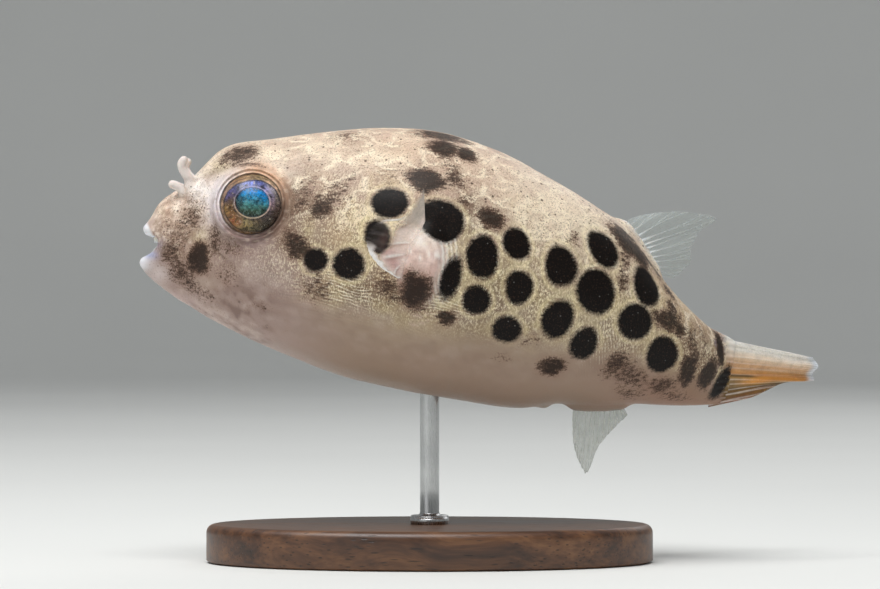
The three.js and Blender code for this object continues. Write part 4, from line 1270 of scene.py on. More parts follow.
def iris_colours(a, b, places):
    """The painted colours of the iris and pupil, by level and upright millimetres from its middle."""
    radius, turn = np.hypot(a, b), np.degrees(np.arctan2(b, a)) % 360
    pa, pb, inside = in_pupil(a, b)
    # Streaks run out from the pupil, and flecks sit over them.
    spoke = stacked(np.cos(np.radians(turn)) * 9, np.sin(np.radians(turn)) * 9, radius * 0.8)
    streak, fleck = layered(spoke, 1.0, 61) - 0.5, layered(places, 0.3, 62)
    wander = (turn + 30 * (layered(places, 0.8, 63) - 0.5)) % 360
    out = smooth(2.6, 3.2, radius + 0.8 * streak)
    iris = stops(wander, IRIS_INNER) * (1 - out)[:, None] + stops(wander, IRIS_OUTER) * out[:, None]
    # The lid's fold over the iris is wrinkled skin, with painted shade in a crease on it and under its
    # edge.
    edge = np.interp(turn, list(LID_EDGE), list(LID_EDGE.values()))
    past = radius - edge + 0.3 * (layered(places, 0.7, 68) - 0.5)
    wrinkle = roughness(stacked(2.2 * radius, turn / 14, 0), 0.5, 69)
    lid = stops(turn, LID_COLOURS) * (0.45 + 1.1 * wrinkle)[:, None]
    iris = wash(
        iris * (1.25 + 2.8 * streak)[:, None].clip(0.35, 2.6),
        ("17120f", 0.8 * smooth(0.56, 0.68, fleck)),
        ("f3e0bd", 0.5 * smooth(0.35, 0.26, fleck)),
        ("b8401a", 0.45 * bump_at(a, b, -1.9, -2.5, 1.2, 0.7) * smooth(0.52, 0.60, 1 - fleck)),
        (wash(lid, ("3a2c22", 0.6 * hump(past, 0.5, 0.07))), smooth(0.0, 0.12, past)),
        ("15100e", 0.8 * hump(past, 0, 0.09)),
        # Painted shade at the iris's rim, where it goes down into the socket.
        ("1f1814", 0.7 * smooth(3.8, 3.92, radius)),
        ("2a2433", 0.5 * hump(inside, 1.15, 0.05)),
        (stops(turn, IRIS_RING), np.clip(1.1 * hump(inside, 1.045, 0.024), 0, 1)),
    )
    # The pupil is the lens, with a painted reflection: blue above and green below, grainy, and darker at
    # its front edge.
    lens = stops(pb + 0.5 * (layered(places, 0.8, 64) - 0.5), PUPIL_COLOURS)
    grain = roughness(places, 0.16, 65) + roughness(places, 0.3, 66)
    return wash(
        lens * np.clip(2.0 * grain - 0.6, 0.12, 3)[:, None],
        ("0c1f33", 0.8 * smooth(-0.4, -1.0, pa) + 0.6 * smooth(0.86, 1.0, inside)),
        ("8fb9b4", 0.25 * smooth(0.62, 0.75, roughness(places, 0.2, 67))),
        (iris, smooth(0.97, 1.0, inside)),
    )


def iris_height(a, b):
    """How far the iris and the lens stand in front of the rim's plane."""
    inside = in_pupil(a, b)[2]
    bowl = 0.78 * (1 - (np.hypot(a, b) / IRIS_EDGE) ** 2) - 0.1
    lens = 0.3 * np.clip(1 - inside**2, 0, 1) ** 0.5
    return bowl + 0.07 * hump(inside, 1.06, 0.06) + lens - 0.12 * smooth(1.0, 0.94, inside)


def iris_material(look):
    """Painted acrylic with pearl pigment, as in a taxidermy eye: metallic flakes give it colour that
    glows in the light, and a smooth clear coat a wet depth."""
    m, place = new_material("pearl_acrylic_iris")
    colour = put(m, "Attribute", attribute_name="iris_colour", out="Color")
    flake = put(m, "TexNoise", {"Vector": place, "Scale": 1 / 0.12, "Detail": 2.0})
    bright = put(m, "MapRange", {0: flake, 1: 0.35, 2: 0.65, 3: 0.75, 4: 1.35})
    lit = put(m, "VectorMath", {0: colour, "Scale": bright}, operation="SCALE")
    bump = put(m, "Bump", {"Height": flake, "Strength": 0.35, "Distance": 0.03 * MM})
    return finish_material(
        m, Base_Color=lit, Metallic=look.iris_metal, Roughness=0.5,
        Specular_IOR_Level=0.1, Normal=bump,
    )


def cornea_material():
    """Clear cast resin with a fine satin polish: the soft sheen of an eye under water, with no hard
    reflection over the iris below."""
    m, place = new_material("clear_resin_cornea")
    ripple = put(m, "TexNoise", {"Vector": place, "Scale": 1 / 2.5, "Detail": 1.0})
    rough = put(m, "MapRange", {0: ripple, 1: 0.3, 2: 0.7, 3: 0.2, 4: 0.26})
    clear = put(m, "MapRange", {0: ripple, 1: 0.3, 2: 0.7, 3: 0.97, 4: 1.0})
    tint = put(m, "CombineColor", {0: clear, 1: clear, 2: 1.0})
    return finish_material(
        m, Base_Color=tint, Roughness=rough, IOR=1.376, Transmission_Weight=1.0, Specular_IOR_Level=0.25
    )


class PufferEyes(bpy.types.PropertyGroup):
    iris_metal: share_setting("Iris shine", "How metallic the iris is", 0.2)


class PUFFER_OT_eyes(bpy.types.Operator):
    """Each eye: the iris and lens in one dished piece, and the clear cornea over them"""

    bl_idname = "puffer.eyes"
    bl_label = "Eyes"

    def execute(self, context):
        iris_finish = iris_material(context.scene.puffer_eyes)
        clear = cornea_material()
        for side, label in ((LEFT, "left"), (RIGHT, "right")):
            axes = eye_axes(side)
            a, b, faces = self.disc(np.linspace(0, 1, IRIS_RINGS) ** 0.9 * IRIS_EDGE, IRIS_SPOKES, side)
            places = self.place(axes, a, b, iris_height(a, b))
            iris = new_mesh(f"iris_{label}", settle(places), faces)
            store(iris, "iris_colour", iris_colours(a, b, stacked(a, b, side)))
            dress(iris, iris_finish, [f"eye_{label}"])
            a, b, faces = self.disc(np.linspace(0, 1, CORNEA_RINGS) * CORNEA_EDGE, CORNEA_SPOKES, side)
            depth = EYE["flat"] * math.sqrt(1 - (EYE["orbit"] / EYE["ball"]) ** 2)
            dome = EYE["flat"] * np.sqrt(1 - (a * a + b * b) / EYE["ball"] ** 2) - depth
            cornea = new_mesh(f"cornea_{label}", settle(self.place(axes, a, b, dome)), faces)
            dress(cornea, clear, [f"eye_{label}"])
        return {"FINISHED"}

    def disc(self, radii, around, side):
        """A disc of rings facing out: its points, level and upright, and its faces."""
        turn = np.arange(around) * 2 * np.pi / around * -side
        a = np.concatenate([[0], np.outer(radii[1:], np.cos(turn)).ravel()])
        b = np.concatenate([[0], np.outer(radii[1:], np.sin(turn)).ravel()])
        faces = [(0, 1 + i, 1 + (i + 1) % around) for i in range(around)]
        rings = sheet_faces(len(radii) - 1, around, wrap=True, first=1)[:, ::-1]
        return a, b, faces + rings.tolist()

    def place(self, axes, a, b, height):
        flat = a[:, None] * axes["level"] + b[:, None] * axes["upright"]
        return axes["middle"] + flat + height[:, None] * axes["gaze"]


# ---------- beak
BEAK = dict(outer=2.5, inner=1.7, spread=1.12)
# Each plate: where its arc starts, its root and its cutting edge.
BEAK_PLATES = {
    "beak_upper": dict(s=0.75, root=2.95, edge=1.18),
    "beak_lower": dict(s=0.9, root=-1.65, edge=0.58),
}


def beak_material():
    """Dental enamel cast in ivory resin: glossy, a little see-through, and darker towards its root."""
    m, place = new_material("ivory_resin_enamel")
    rootward_share = put(m, "Attribute", attribute_name="toward_root", out="Fac")
    lines = put(m, "Mapping", {"Vector": place, "Scale": (1.0, 1.0, 6.0)})
    growth = put(m, "TexNoise", {"Vector": lines, "Scale": 1 / 1.2, "Detail": 3.0})
    shift = put(m, "Math", {0: growth, 1: 0.35, 2: rootward_share}, operation="MULTIPLY_ADD")
    ramp = [(0.15, linear("dfe3e4")), (0.6, linear("d9cfb8")), (1.0, linear("8d7252"))]
    return finish_material(
        m,
        Base_Color=put(m, "ValToRGB", {0: shift}, ramp=ramp),
        Roughness=0.24,
        IOR=1.6,
        Normal=put(m, "Bump", {"Height": growth, "Strength": 0.3, "Distance": 0.04 * MM}),
        Subsurface_Weight=0.15,
        Subsurface_Radius=(1.0, 0.8, 0.6),
        Subsurface_Scale=0.0005,
    )


class PUFFER_OT_beak(bpy.types.Operator):
    """The two fused plates of the beak, each with a seam at its middle and a sharp edge"""

    bl_idname = "puffer.beak"
    bl_label = "Beak"

    def execute(self, context):
        enamel = beak_material()
        for name, plate in BEAK_PLATES.items():
            rows, around = 61, 24
            turn = np.linspace(-1, 1, rows)[:, None]
            v = np.linspace(0, 2 * np.pi, around, endpoint=False)[None, :]
            middle = (BEAK["outer"] + BEAK["inner"]) / 2
            half = (BEAK["outer"] - BEAK["inner"]) / 2
            end = np.sqrt(np.clip(1 - np.abs(turn) ** 6, 0, 1))
            seam = 0.08 * hump(turn, 0, 0.03)
            rise = signed_power(np.sin(v), 0.75)  # 1 at the root and -1 at the cutting edge
            thick = half * (0.3 + 0.7 * smooth(-1.0, 0.5, rise)) * end
            radius = middle + 0.12 + thick * signed_power(np.cos(v), 0.8) - seam * (np.cos(v) > 0)
            tall = (plate["root"] - plate["edge"]) / 2
            level = (plate["root"] + plate["edge"]) / 2 + tall * rise * (0.35 + 0.65 * end)
            angle = np.pi + BEAK["spread"] * turn
            ahead = plate["s"] + BEAK["outer"] + radius * np.cos(angle)
            points, faces = closed_tube(stacked(ahead, radius * np.sin(angle), level))
            piece = new_mesh(name + "_plate", settle(points), faces)
            rooted = np.concatenate([np.broadcast_to((rise + 1) / 2, (rows, around)).ravel(), [0.5, 0.5]])
            store(piece, "toward_root", rooted)
            dress(piece, enamel, [name])
        return {"FINISHED"}


# ---------- fins
FIN_THICK = dict(membrane=0.035, ray=0.1)  # half thickness
RAY_COLUMNS = 16  # columns of points to a ray
RAY_JOINTS = 26  # from root to edge


def midline_fin(root_from, root_to, margin, pleats, folds, lean):
    """The middle sheet of a fin in the fish's midline: a runs across the rays, b from root to edge."""

    def surface(a, b):
        root = np.array(root_from) + (np.array(root_to) - np.array(root_from)) * a[..., None]
        flat = root + (spline(margin, a) - root) * b[..., None]
        y = pleats * np.sin(folds * np.pi * a) * (0.3 + 0.7 * b) + lean * b**2
        return stacked(flat[..., 0], y, flat[..., 1])

    return surface


def pectoral_fin(side):
    """The middle sheet of a pectoral fin, cupped like a hand, reaching out and forward."""
    roots = np.array([(35.3, 15.9, 9.7), (34.4, 16.9, 6.0), (33.7, 16.2, 2.2)])
    margin = [
        (34.4, 16.6, 14.1), (32.6, 17.9, 9.9), (29.9, 19.0, 8.9), (28.5, 19.6, 7.3), (28.6, 19.9, 5.2),
        (30.3, 19.6, 3.3), (31.9, 18.5, 2.5), (33.2, 17.2, 2.0),
    ]
    cup = -0.5

    def surface(a, b):
        t = a[..., None]
        root = roots[0] * (1 - t) ** 2 + 2 * roots[1] * t * (1 - t) + roots[2] * t**2
        p = root + (spline(margin, a) - root) * b[..., None]
        p[..., 1] = (p[..., 1] + cup * np.sin(np.pi * b) * np.sin(np.pi * a)) * side
        return p

    return surface


DORSAL = midline_fin(
    (59.9, 13.4), (65.6, 8.6),
    [(61.4, 14.9), (63.6, 16.0), (67.9, 17.2), (73.2, 17.2), (71.2, 15.0), (70.4, 12.6), (70.7, 10.6),
     (68.8, 8.3)],
    pleats=0.25, folds=5, lean=0.6,
)
ANAL = midline_fin(
    (58.3, -9.2), (64.2, -8.4),
    [(58.5, -12.2), (59.4, -16.0), (61.4, -19.05), (62.4, -15.6), (63.8, -12.8), (65.5, -10.3)],
    pleats=0.2, folds=4, lean=-0.5,
)
CAUDAL = midline_fin(
    *TAIL_ROOT,
    [(89.4, 1.3), (90.1, 0.7), (90.05, -0.1), (89.95, -0.95), (89.75, -1.75), (88.0, -2.1), (85.0, -3.1),
     (81.8, -5.3)],
    pleats=0.3, folds=6, lean=0,
)


def ray_pattern(a, b, rays, branch_from, rng):
    """How much of a ray is at each place of a fin, from 0 to 1, and the place of its nearest ray.

    Each ray is one stem that splits in two past branch_from.
    """
    width = 0.11 / rays
    best = np.zeros(np.broadcast(a, b).shape)
    nearest = np.zeros_like(best)
    for k in range(rays):
        at = (k + 0.5) / rays + rng.uniform(-0.1, 0.1) / rays
        split = 0.25 / rays * np.clip((b - branch_from) / (1 - branch_from), 0, 1) * rng.uniform(0.8, 1.1)
        wave = 0.06 / rays * np.sin(7 * b + rng.uniform(0, 6.3))
        for sign in (-1, 1):
            off = (a - at - wave - sign * split) / (width * (1.25 - 0.4 * b))
            value = np.exp(-(off**2))
            nearest = np.where(value > best, k, nearest)
            best = np.maximum(best, value)
    return best, nearest


def fin_piece(name, surface, paint, rays, seed, branch_from=0.4, notch=0.03, along=64, stout=1.0):
    """A fin as one closed thin sheet, with round rays that stand proud on both faces. paint gives its
    colours and how solid it is, by the place across the rays and from root to edge."""
    rng = np.random.default_rng(seed)
    across = RAY_COLUMNS * rays + 1
    a, b = np.meshgrid(np.linspace(0, 1, across), np.linspace(0, 1, along))
    ray, nearest = ray_pattern(a, b, rays, branch_from, rng)
    # The margin is scalloped between the rays, and each ray is a little longer or shorter.
    reach = 1 - notch * (1 - ray[-1]) - 0.8 * notch * rng.uniform(0, 1, rays)[nearest[-1].astype(int)]
    reach = np.convolve(np.pad(reach, 2, mode="edge"), np.ones(5) / 5, mode="valid")
    deep = b * reach[None, :]
    middle = surface(a, deep)
    along_a, along_b = np.gradient(middle, axis=1), np.gradient(middle, axis=0)
    joints = (0.5 + 0.5 * np.cos(2 * np.pi * b * RAY_JOINTS + 2.1 * nearest)) * (b > 0.3)
    body = stout * FIN_THICK["ray"] * ray * (1 - 0.55 * b) * (1 - 0.15 * stout * joints)
    half = (FIN_THICK["membrane"] * (1.4 - 0.7 * b) + body) * np.sqrt(np.clip(1 - b**12, 0, 1))
    thick = unit(np.cross(along_a, along_b)) * half[..., None]
    points = np.concatenate([(middle + thick).reshape(-1, 3), (middle - thick).reshape(-1, 3)])
    n = across * along
    top, low = sheet_faces(along, across), sheet_faces(along, across, first=n)[:, ::-1]
    grid = np.arange(n).reshape(along, across)
    rim = np.concatenate([grid[0], grid[1:, -1], grid[-1, -2::-1], grid[-2:0:-1, 0]])
    after = np.roll(rim, -1)  # the next point round the rim
    edge = stacked(rim, rim + n, after + n, after)
    piece = new_mesh(name, settle(points), [*top.tolist(), *low.tolist(), *edge.tolist()])
    colour, solid = paint(a.ravel(), b.ravel(), ray.ravel(), joints.ravel())
    store(piece, "tint", np.tile(colour, (2, 1)))
    store(piece, "solid", np.tile(np.clip(solid, 0, 1), 2))
    return piece


def paint_clear(film, stem, root, root_length, film_solid, stem_solid, fade):
    """Paint for a clear fin: whitish rays that fade towards the edge, and a milky fleshy root."""

    def paint(a, b, ray, joints):
        share = ray * (1 - fade * smooth(0, 0.4, b))
        rooted = smooth(root_length * (0.5 + 0.6 * ray**0.35), 0, b)
        colour = wash(film, (stem, np.clip(1.2 * share, 0, 1)), (root, rooted))
        solid = film_solid + (stem_solid - film_solid) * share * (1 - 0.25 * joints)
        return colour, np.maximum(solid, 0.95 * rooted) + 0.1 * smooth(0.97, 1.0, b)

    return paint


def paint_pectoral(a, b, ray, joints):
    """Paint for a pectoral fin: milky and rosy by its root, clear beyond, with a pale upper spike and
    a white lower margin."""
    milky = smooth(0.1, -0.1, b - (0.5 + 0.35 * smooth(0.5, 0.7, a) + 0.06 * np.sin(9 * a)))
    blush = bump_at(a, b, 0.47, 0.66, 0.1, 0.09)
    # Creases in the milky part, each with its shade beside it.
    creases = []
    for line in (((0.6, 0.1), (0.66, 0.75)), ((0.76, 0.25), (0.9, 0.8)), ((0.4, 0.05), (0.5, 0.5))):
        creases.append(("b08f86", 0.7 * crease(a - 0.025, b, *line, 0.022)))
        creases.append(("fffaf4", 0.85 * crease(a, b, *line, 0.016)))
    spike = smooth(0.25, 0.12, a)
    uneven = b + 0.05 * np.sin(60 * a) * np.sin(23 * a + 1)
    upper = smooth(0.86, 0.95, b) * hump(a, 0.22, 0.07)
    margin = smooth(0.78, 0.92, uneven) * smooth(0.5, 0.62, a) + smooth(0.93, 0.98, a) * smooth(0.3, 0.6, b)
    white = np.clip(upper + margin, 0, 1)
    colour = wash(
        "cfbdb4",
        ("efe6e0", 0.5 * ray),
        ("f8e4da", milky),
        ("cd9d9c", 0.75 * bump_at(a, b, 0.7, 0.5, 0.18, 0.24)),
        ("8d7870", 0.7 * bump_at(a, b, 0.24, 0.55, 0.05, 0.12)),
        ("9c5748", 0.7 * blush),
        *creases,
        ("cabfb3", 0.8 * spike * smooth(0.1, 0.35, b)),
        ("fdf9f4", white),
    )
    solid = 0.01 + 0.05 * ray * (1 - 0.5 * b) + 0.72 * milky + 0.08 * blush
    solid *= 0.2 + 0.8 * smooth(0, 0.35, b)
    return colour, np.maximum.reduce([solid, 0.8 * spike * smooth(1.02, 0.7, b), 0.95 * white])


def paint_tail(a, b, ray, joints):
    """Paint for the folded tail fin, in bands along its rays: grey-white above, then cream, tan and
    orange, with an olive lower edge and a bluish tip."""
    places, lower = stacked(30 * a, 8 * b, 0), smooth(0.54, 0.6, a)
    colour = wash(
        stops(a + 0.1 * (layered(places, 2.0, 91) - 0.5), TAIL_BANDS),
        ("6a5738", 0.5 * lower * (1 - ray) * smooth(0.6, 0.2, b)),
        ("f4ece6", (0.3 + 0.3 * lower) * ray * (1 - 0.5 * b)),
        ("7c6248", 0.2 * smooth(0.55, 0.85, layered(places, 1.1, 92))),
        ("bd7a2e", 0.85 * hump(a, 0.56, 0.07) * smooth(0.28, 0.5, b)),
        ("e79a3c", 0.8 * bump_at(a, b, 0.63, 0.42, 0.07, 0.14)),
        ("43351c", 0.85 * hump(a, 0.53, 0.022) * smooth(0.46, 0.34, b)),
        ("d3dce6", 0.85 * smooth(0.9, 0.98, b) * smooth(0.75, 0.5, a)),
    )
    return colour, 0.98 - 0.35 * smooth(0.8, 1.0, b) * (1 - ray)


def fin_material(name, depth, look):
    """Urethane film cast over thin resin rays and tinted from behind: milky where it is thick, clear
    between the rays, with a soft gloss that shows every fibre."""
    m, place = new_material(name)
    tint = put(m, "Attribute", attribute_name="tint", out="Color")
    solid = put(m, "Attribute", attribute_name="solid", out="Fac")
    cloud = put(m, "TexNoise", {"Vector": place, "Scale": 1 / 1.1, "Detail": 3.0})
    fibre = put(m, "TexNoise", {"Vector": place, "Scale": 1 / 0.14, "Detail": 2.0})
    fleck = put(m, "MapRange", {0: fibre, 1: 0.3, 2: 0.7, 3: 0.86, 4: 1.12})
    lit = put(m, "VectorMath", {0: tint, "Scale": fleck}, operation="SCALE")
    vary = put(m, "MapRange", {0: cloud, 1: 0.3, 2: 0.7, 3: look.film * 0.85, 4: look.film * 1.12})
    return finish_material(
        m,
        Base_Color=lit,
        Roughness=look.fin_roughness,
        IOR=1.45,
        Alpha=put(m, "Math", {0: solid, 1: vary}, operation="MULTIPLY", use_clamp=True),
        Normal=put(m, "Bump", {"Height": fibre, "Strength": 0.4, "Distance": 0.03 * MM}),
        Subsurface_Weight=0.2,
        Subsurface_Radius=(1.0, 0.8, 0.6),
        Subsurface_Scale=depth,
    )


class PufferFins(bpy.types.PropertyGroup):
    film: share_setting("Film", "How solid the fins are, 1 as painted", 1.0, most=1.5)
    fin_roughness: share_setting("Roughness", "How dull the fins are", 0.38)


class PUFFER_OT_pectoral_fins(bpy.types.Operator):
    """The two fan-shaped fins at the sides, of thirteen rays each"""

    bl_idname = "puffer.pectoral_fins"
    bl_label = "Pectoral fins"

    def execute(self, context):
        finish = fin_material("clear_urethane_pectoral", 0.0003, context.scene.puffer_fins)
        for side, label in ((LEFT, "left"), (RIGHT, "right")):
            name = f"pectoral_fin_{label}_film"
            surface = pectoral_fin(side)
            piece = fin_piece(name, surface, paint_pectoral, rays=13, seed=21, branch_from=0.55, stout=0.4)
            dress(piece, finish, [f"pectoral_fin_{label}"])
        return {"FINISHED"}


# For each node: the piece's name, its finish and how deep light goes in it, in metres, its slot, its
# middle sheet, its paint and its form.
MIDLINE_FINS = {
    "dorsal_fin": (
        "dorsal_fin_film", "clear_urethane_dorsal", 0.0003, "fin", DORSAL,
        paint_clear("b4bfba", "f4f8f8", "fcfeff", 0.52, 0.16, 0.9, fade=0.78),
        dict(rays=12, seed=31, notch=0.025),
    ),
    "anal_fin": (
        "anal_fin_film", "clear_urethane_anal", 0.0003, "fin", ANAL,
        paint_clear("9aa395", "c9cec4", "b5aaa0", 0.12, 0.3, 0.55, fade=0.4),
        dict(rays=11, seed=32, notch=0.04),
    ),
    "caudal_fin": (
        "tail_fin_film", "tinted_urethane_tail", 0.0006, "tail_fin", CAUDAL, paint_tail,
        dict(rays=TAIL_RAYS, seed=33, branch_from=0.25, notch=0, along=96, stout=0.7),
    ),
}


class PUFFER_OT_midline_fins(bpy.types.Operator):
    """The dorsal, anal and tail fins"""

    bl_idname = "puffer.midline_fins"
    bl_label = "Dorsal, anal and tail fins"

    def execute(self, context):
        for node, (name, finish, depth, slot, surface, paint, form_settings) in MIDLINE_FINS.items():
            piece = fin_piece(name, surface, paint, **form_settings)
            dress(piece, fin_material(finish, depth, context.scene.puffer_fins), [node])
        return {"FINISHED"}


# ---------- stand
def lathe(profile, around, half_x=None, half_y=None):
    """Rings round an upright axis. With half_x and half_y, a profile's first number is the distance
    in from an oval of those half lengths; without them it is a radius."""
    turn = np.linspace(0, 2 * np.pi, around, endpoint=False)
    rings = []
    for first, level in profile:
        wide = (half_x - first, half_y - first) if half_x else (first, first)
        rings.append(stacked(wide[0] * np.cos(turn), wide[1] * np.sin(turn), level))
    return closed_tube(np.array(rings))


def wood_material(look):
    """Oiled walnut, turned and sanded: open pores along the grain, dark summer bands, and a low
    sheen that the pores break up."""
    m, place = new_material("oiled_walnut")
    drift = put(m, "TexNoise", {"Vector": place, "Scale": 1 / 24.0, "Detail": 2.0})
    bent = put(m, "VectorMath", {0: drift, "Scale": 9.0}, operation="SCALE")
    moved = put(m, "VectorMath", {0: place, 1: bent}, operation="ADD")
    stretched = put(m, "Mapping", {"Vector": moved, "Scale": (0.05, 1.0, 1.0)})
    bands = put(m, "TexNoise", {"Vector": stretched, "Scale": 1 / 2.8, "Detail": 4.0, "Roughness": 0.62})
    fine = put(m, "TexNoise", {"Vector": stretched, "Scale": 1 / 0.45, "Detail": 2.0})
    pore_place = put(m, "Mapping", {"Vector": place, "Scale": (0.09, 1.0, 1.0)})
    pores = put(m, "TexVoronoi", {"Vector": pore_place, "Scale": 1 / 0.42}, feature="F1", out="Distance")
    pore = put(m, "MapRange", {0: pores, 1: 0.28, 2: 0.12}, **EASED)
    mixed = put(m, "Math", {0: fine, 1: 0.3, 2: bands}, operation="MULTIPLY_ADD")
    tones = ((0.42, "2a1a11"), (0.56, "472c1b"), (0.68, "5f3e27"), (0.84, "7a5436"))
    ramp = [(place_on, linear(code)) for place_on, code in tones]
    colour = put(m, "ValToRGB", {0: mixed}, ramp=ramp)
    dark = put(m, "Math", {0: pore, 1: 0.7}, operation="MULTIPLY")
    colour = put(m, "Mix", {0: dark, 6: colour, 7: (*linear("1a100a"), 1)}, data_type="RGBA", out=2)
    smoothest, dullest = look.wood_roughness - 0.06, look.wood_roughness + 0.1
    rough = put(m, "MapRange", {0: mixed, 1: 0.4, 2: 0.9, 3: smoothest, 4: dullest})
    lower = put(m, "Math", {0: pore, 1: -1.0, 2: 0.0}, operation="MULTIPLY_ADD")
    height = put(m, "Math", {0: fine, 1: 0.25, 2: lower}, operation="MULTIPLY_ADD")
    bump = put(m, "Bump", {"Height": height, "Strength": 0.5, "Distance": 0.08 * MM})
    return finish_material(
        m, Base_Color=colour, Roughness=rough, IOR=1.5, Normal=bump,
        Coat_Weight=0.2, Coat_Roughness=0.3,
    )


def steel_material(look):
    """Stainless steel rod, polished lengthways with fine abrasive: a bright metal whose highlights
    are drawn out across the brushing."""
    m, place = new_material("brushed_stainless_steel")
    drawn = put(m, "Mapping", {"Vector": place, "Scale": (1.0, 1.0, 0.03)})
    lines = put(m, "TexNoise", {"Vector": drawn, "Scale": 1 / 0.09, "Detail": 3.0})
    cloud = put(m, "TexNoise", {"Vector": place, "Scale": 1 / 5.0, "Detail": 2.0})
    ramp = [(0.3, linear("b3b4b5")), (0.7, linear("cfd0d0"))]
    colour = put(m, "ValToRGB", {0: cloud}, ramp=ramp)
    smoothest, dullest = look.steel_roughness - 0.06, look.steel_roughness + 0.1
    rough = put(m, "MapRange", {0: lines, 1: 0.3, 2: 0.7, 3: smoothest, 4: dullest})
    bump = put(m, "Bump", {"Height": lines, "Strength": 0.25, "Distance": 0.01 * MM})
    return finish_material(
        m, Base_Color=colour, Metallic=1.0, Roughness=rough, Normal=bump, Anisotropic=0.4
    )


class PufferStand(bpy.types.PropertyGroup):
    edge: length_setting("Edge radius", "Rounding of the base", 1.1)
    ferrule: length_setting("Ferrule", "Radius of the collar at the rod's foot", 2.5)
    wood_roughness: share_setting("Wood roughness", "How dull the base is", 0.4)
    steel_roughness: share_setting("Steel roughness", "How dull the rod is", 0.24)


class PUFFER_OT_stand(bpy.types.Operator):
    """The oval wooden base and the steel rod, with a collar at its foot"""

    bl_idname = "puffer.stand"
    bl_label = "Stand"

    def execute(self, context):
        look = context.scene.puffer_stand
        quarter = np.linspace(0, np.pi / 2, 9)

        low, high = self.corners("stand_base")
        half, edge, foot = (high - low) / 2, look.edge / MM, 0.35
        profile = [(half[1] - 1, low[2]), (foot * 2, low[2]), (foot, low[2] + 0.1), (0, low[2] + foot)]
        profile += [(edge * (1 - math.cos(t)), high[2] - edge + edge * math.sin(t)) for t in quarter]
        profile += [(edge + step, high[2]) for step in (0.4, 2, 5, 9, 13)]
        profile.append((half[1] - 1, high[2]))
        base = self.turned("stand_base_oval", low + half, lathe(profile, 144, half[0], half[1]))
        dress(base, wood_material(look), ["stand_base"])

        low, high = self.corners("stand_rod")
        half, radius, collar = (high - low) / 2, (high[0] - low[0]) / 2, look.ferrule / MM
        tall, bevel = 0.9, 0.25
        shoulder = low[2] + tall
        profile = [(collar, low[2]), (collar, shoulder)]
        profile += [(collar - bevel * (1 - math.cos(t)), shoulder + bevel * math.sin(t)) for t in quarter]
        profile += [(radius + 0.35, shoulder + bevel), (radius + 0.1, shoulder + 0.35)]
        profile += [(radius, level) for level in np.linspace(shoulder + 0.6, high[2], 8)]
        rod = self.turned("stand_rod_steel", low + half, lathe(profile, 64))
        dress(rod, steel_material(look), ["stand_rod"])
        return {"FINISHED"}

    def corners(self, node):
        """A node's lowest and highest corners, in millimetres."""
        return [np.array(corner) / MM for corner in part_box(node)]

    def turned(self, name, middle, made):
        """A lathe's points and faces as a piece round a node's middle."""
        points, faces = made
        return new_mesh(name, (points + middle * (1, 1, 0)) * MM, faces)


# ---------- stage
# The soft lights, in metres: where each stands, its width and height, and how high it aims.
LIGHTS = {
    "key": ((-0.14, -0.2, 0.6), (0.5, 0.34), 0.045),
    "fill": ((-0.45, -0.55, 0.22), (0.5, 0.4), 0.04),
    "rim": ((0.35, 0.55, 0.45), (0.5, 0.3), 0.045),
}
RIM_SHARE = 2.0  # the rim light's power, by the fill's


def studio_material(look):
    """Matte painted board: even and pale, with the faint unevenness of a roller."""
    m, place = new_material("matte_painted_board")
    cloud = put(m, "TexNoise", {"Vector": place, "Scale": 1 / 180.0, "Detail": 2.0})
    ramp = [(0.35, look.floor), (0.65, [c * 0.97 for c in look.floor])]
    colour = put(m, "ValToRGB", {0: cloud}, ramp=ramp)
    return finish_material(m, Base_Color=colour, Roughness=0.9, IOR=1.45)


class PufferStage(bpy.types.PropertyGroup):
    floor: colour_setting("Floor", "Pale colour of the floor", "e6e7e4")
    distance: FloatProperty(
        name="Camera distance", description="From the camera to the fish's midline", default=0.5,
        unit="LENGTH",
    )
    field: FloatProperty(
        name="Field", description="Width seen at the fish", default=0.1144, unit="LENGTH", precision=4
    )
    key: FloatProperty(name="Key", description="Power of the softbox overhead", default=3.9, unit="POWER")
    fill: FloatProperty(
        name="Fill", description="Power of the light beside the camera", default=0.35, unit="POWER"
    )
    world: FloatProperty(
        name="Surroundings", description="Strength of the light from all round", default=0.36
    )


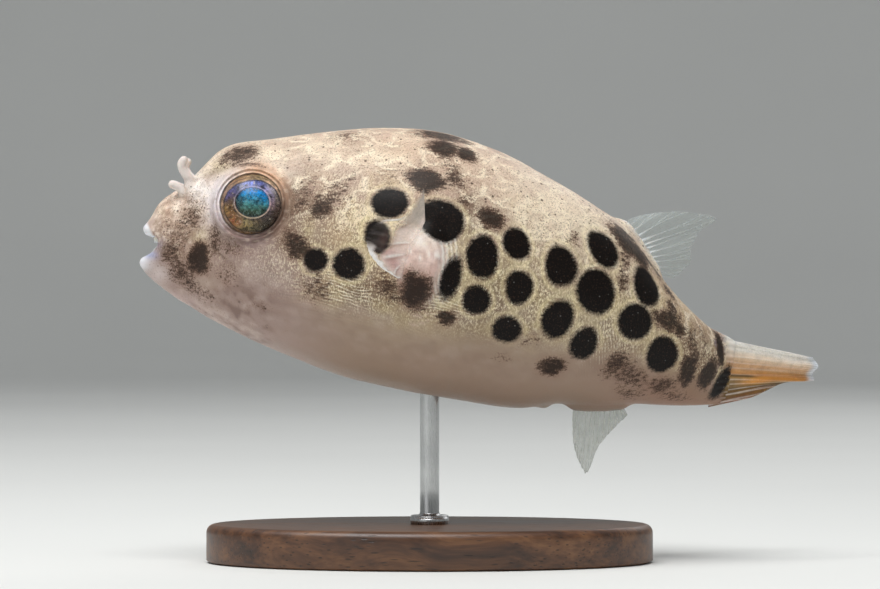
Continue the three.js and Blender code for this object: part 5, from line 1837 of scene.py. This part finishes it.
class PUFFER_OT_stage(bpy.types.Operator):
    """The pale floor with its raised rim, the soft lights and the camera"""

    bl_idname = "puffer.stage"
    bl_label = "Stage"

    def execute(self, context):
        look = context.scene.puffer_stage
        self.floor(look)
        powers = {"key": look.key, "fill": look.fill, "rim": look.fill * RIM_SHARE}
        for name, (place, size, aim) in LIGHTS.items():
            self.light(name, powers[name], place, size, (0.0, 0.0, aim))
        world = bpy.data.worlds.new("soft_room")
        context.scene.world = world
        world.use_nodes = True
        colour, strength = world.node_tree.nodes["Background"].inputs[:2]
        colour.default_value, strength.default_value = rgba(linear("f4f6fa")), look.world
        context.scene.view_settings.view_transform = "Standard"
        self.camera(context, look)
        return {"FINISHED"}

    def floor(self, look):
        """A wide round floor that curves up into a low wall all round."""
        flat, bend, wall = 1.1, 0.5, 1.0
        turn = np.linspace(0, np.pi / 2, 17)
        profile = [(radius, 0.0) for radius in (0.05, 0.2, 0.5, 0.8, flat)]
        profile += [(flat + bend * math.sin(t), bend * (1 - math.cos(t))) for t in turn[1:]]
        profile.append((flat + bend, wall))
        around = 128
        points, faces = lathe(profile, around)
        faces = [tuple(reversed(face)) for face in faces[:-around]]
        floor = new_mesh("studio_floor", points[:-1], faces)
        floor.data.materials.append(studio_material(look))

    def light(self, name, power, place, size, target):
        lamp = bpy.data.lights.new(name, "AREA")
        lamp.shape = "RECTANGLE"
        lamp.size, lamp.size_y = size
        lamp.energy = power
        made = bpy.data.objects.new(name, lamp)
        made.location = place
        way = np.array(target) - np.array(place)
        made.rotation_euler = (
            math.atan2(math.hypot(way[0], way[1]), -way[2]), 0.0, math.atan2(-way[0], way[1]),
        )
        bpy.context.scene.collection.objects.link(made)

    def camera(self, context, look):
        """Level with the fish and square to its side."""
        lens = bpy.data.cameras.new("camera")
        lens.sensor_width = 36.0
        lens.lens = lens.sensor_width * look.distance / look.field
        camera = bpy.data.objects.new("camera", lens)
        camera.location = (SIGHT[0] * MM, -look.distance, SIGHT[1] * MM)
        camera.rotation_euler = (math.pi / 2, 0, 0)
        bpy.context.scene.collection.objects.link(camera)
        context.scene.camera = camera


# ---------- panel and registration
STEPS = ("skin", "eyes", "beak", "pectoral_fins", "midline_fins", "stand", "stage")


class PUFFER_PT_panel(bpy.types.Panel):
    """Lists the steps that dress the pufferfish"""

    bl_idname = "PUFFER_PT_panel"
    bl_label = "Pufferfish"
    bl_space_type = "VIEW_3D"
    bl_region_type = "UI"
    bl_category = "Pufferfish"

    def draw(self, context):
        for step in STEPS:
            self.layout.operator("puffer." + step)
        for group in SETTINGS:
            settings = getattr(context.scene, group)
            for name in settings.bl_rna.properties.keys():
                if name not in ("rna_type", "name"):
                    self.layout.prop(settings, name)


SETTINGS = {
    "puffer_skin": PufferSkin,
    "puffer_eyes": PufferEyes,
    "puffer_fins": PufferFins,
    "puffer_stand": PufferStand,
    "puffer_stage": PufferStage,
}
CLASSES = (
    *SETTINGS.values(),
    PUFFER_OT_skin,
    PUFFER_OT_eyes,
    PUFFER_OT_beak,
    PUFFER_OT_pectoral_fins,
    PUFFER_OT_midline_fins,
    PUFFER_OT_stand,
    PUFFER_OT_stage,
    PUFFER_PT_panel,
)


def register():
    for item in CLASSES:
        bpy.utils.register_class(item)
    for name, group in SETTINGS.items():
        setattr(bpy.types.Scene, name, PointerProperty(type=group))


def unregister():
    for name in SETTINGS:
        delattr(bpy.types.Scene, name)
    for item in reversed(CLASSES):
        bpy.utils.unregister_class(item)


def main():
    register()
    for step in STEPS:
        getattr(bpy.ops.puffer, step)()


if __name__ == "__main__":
    main()
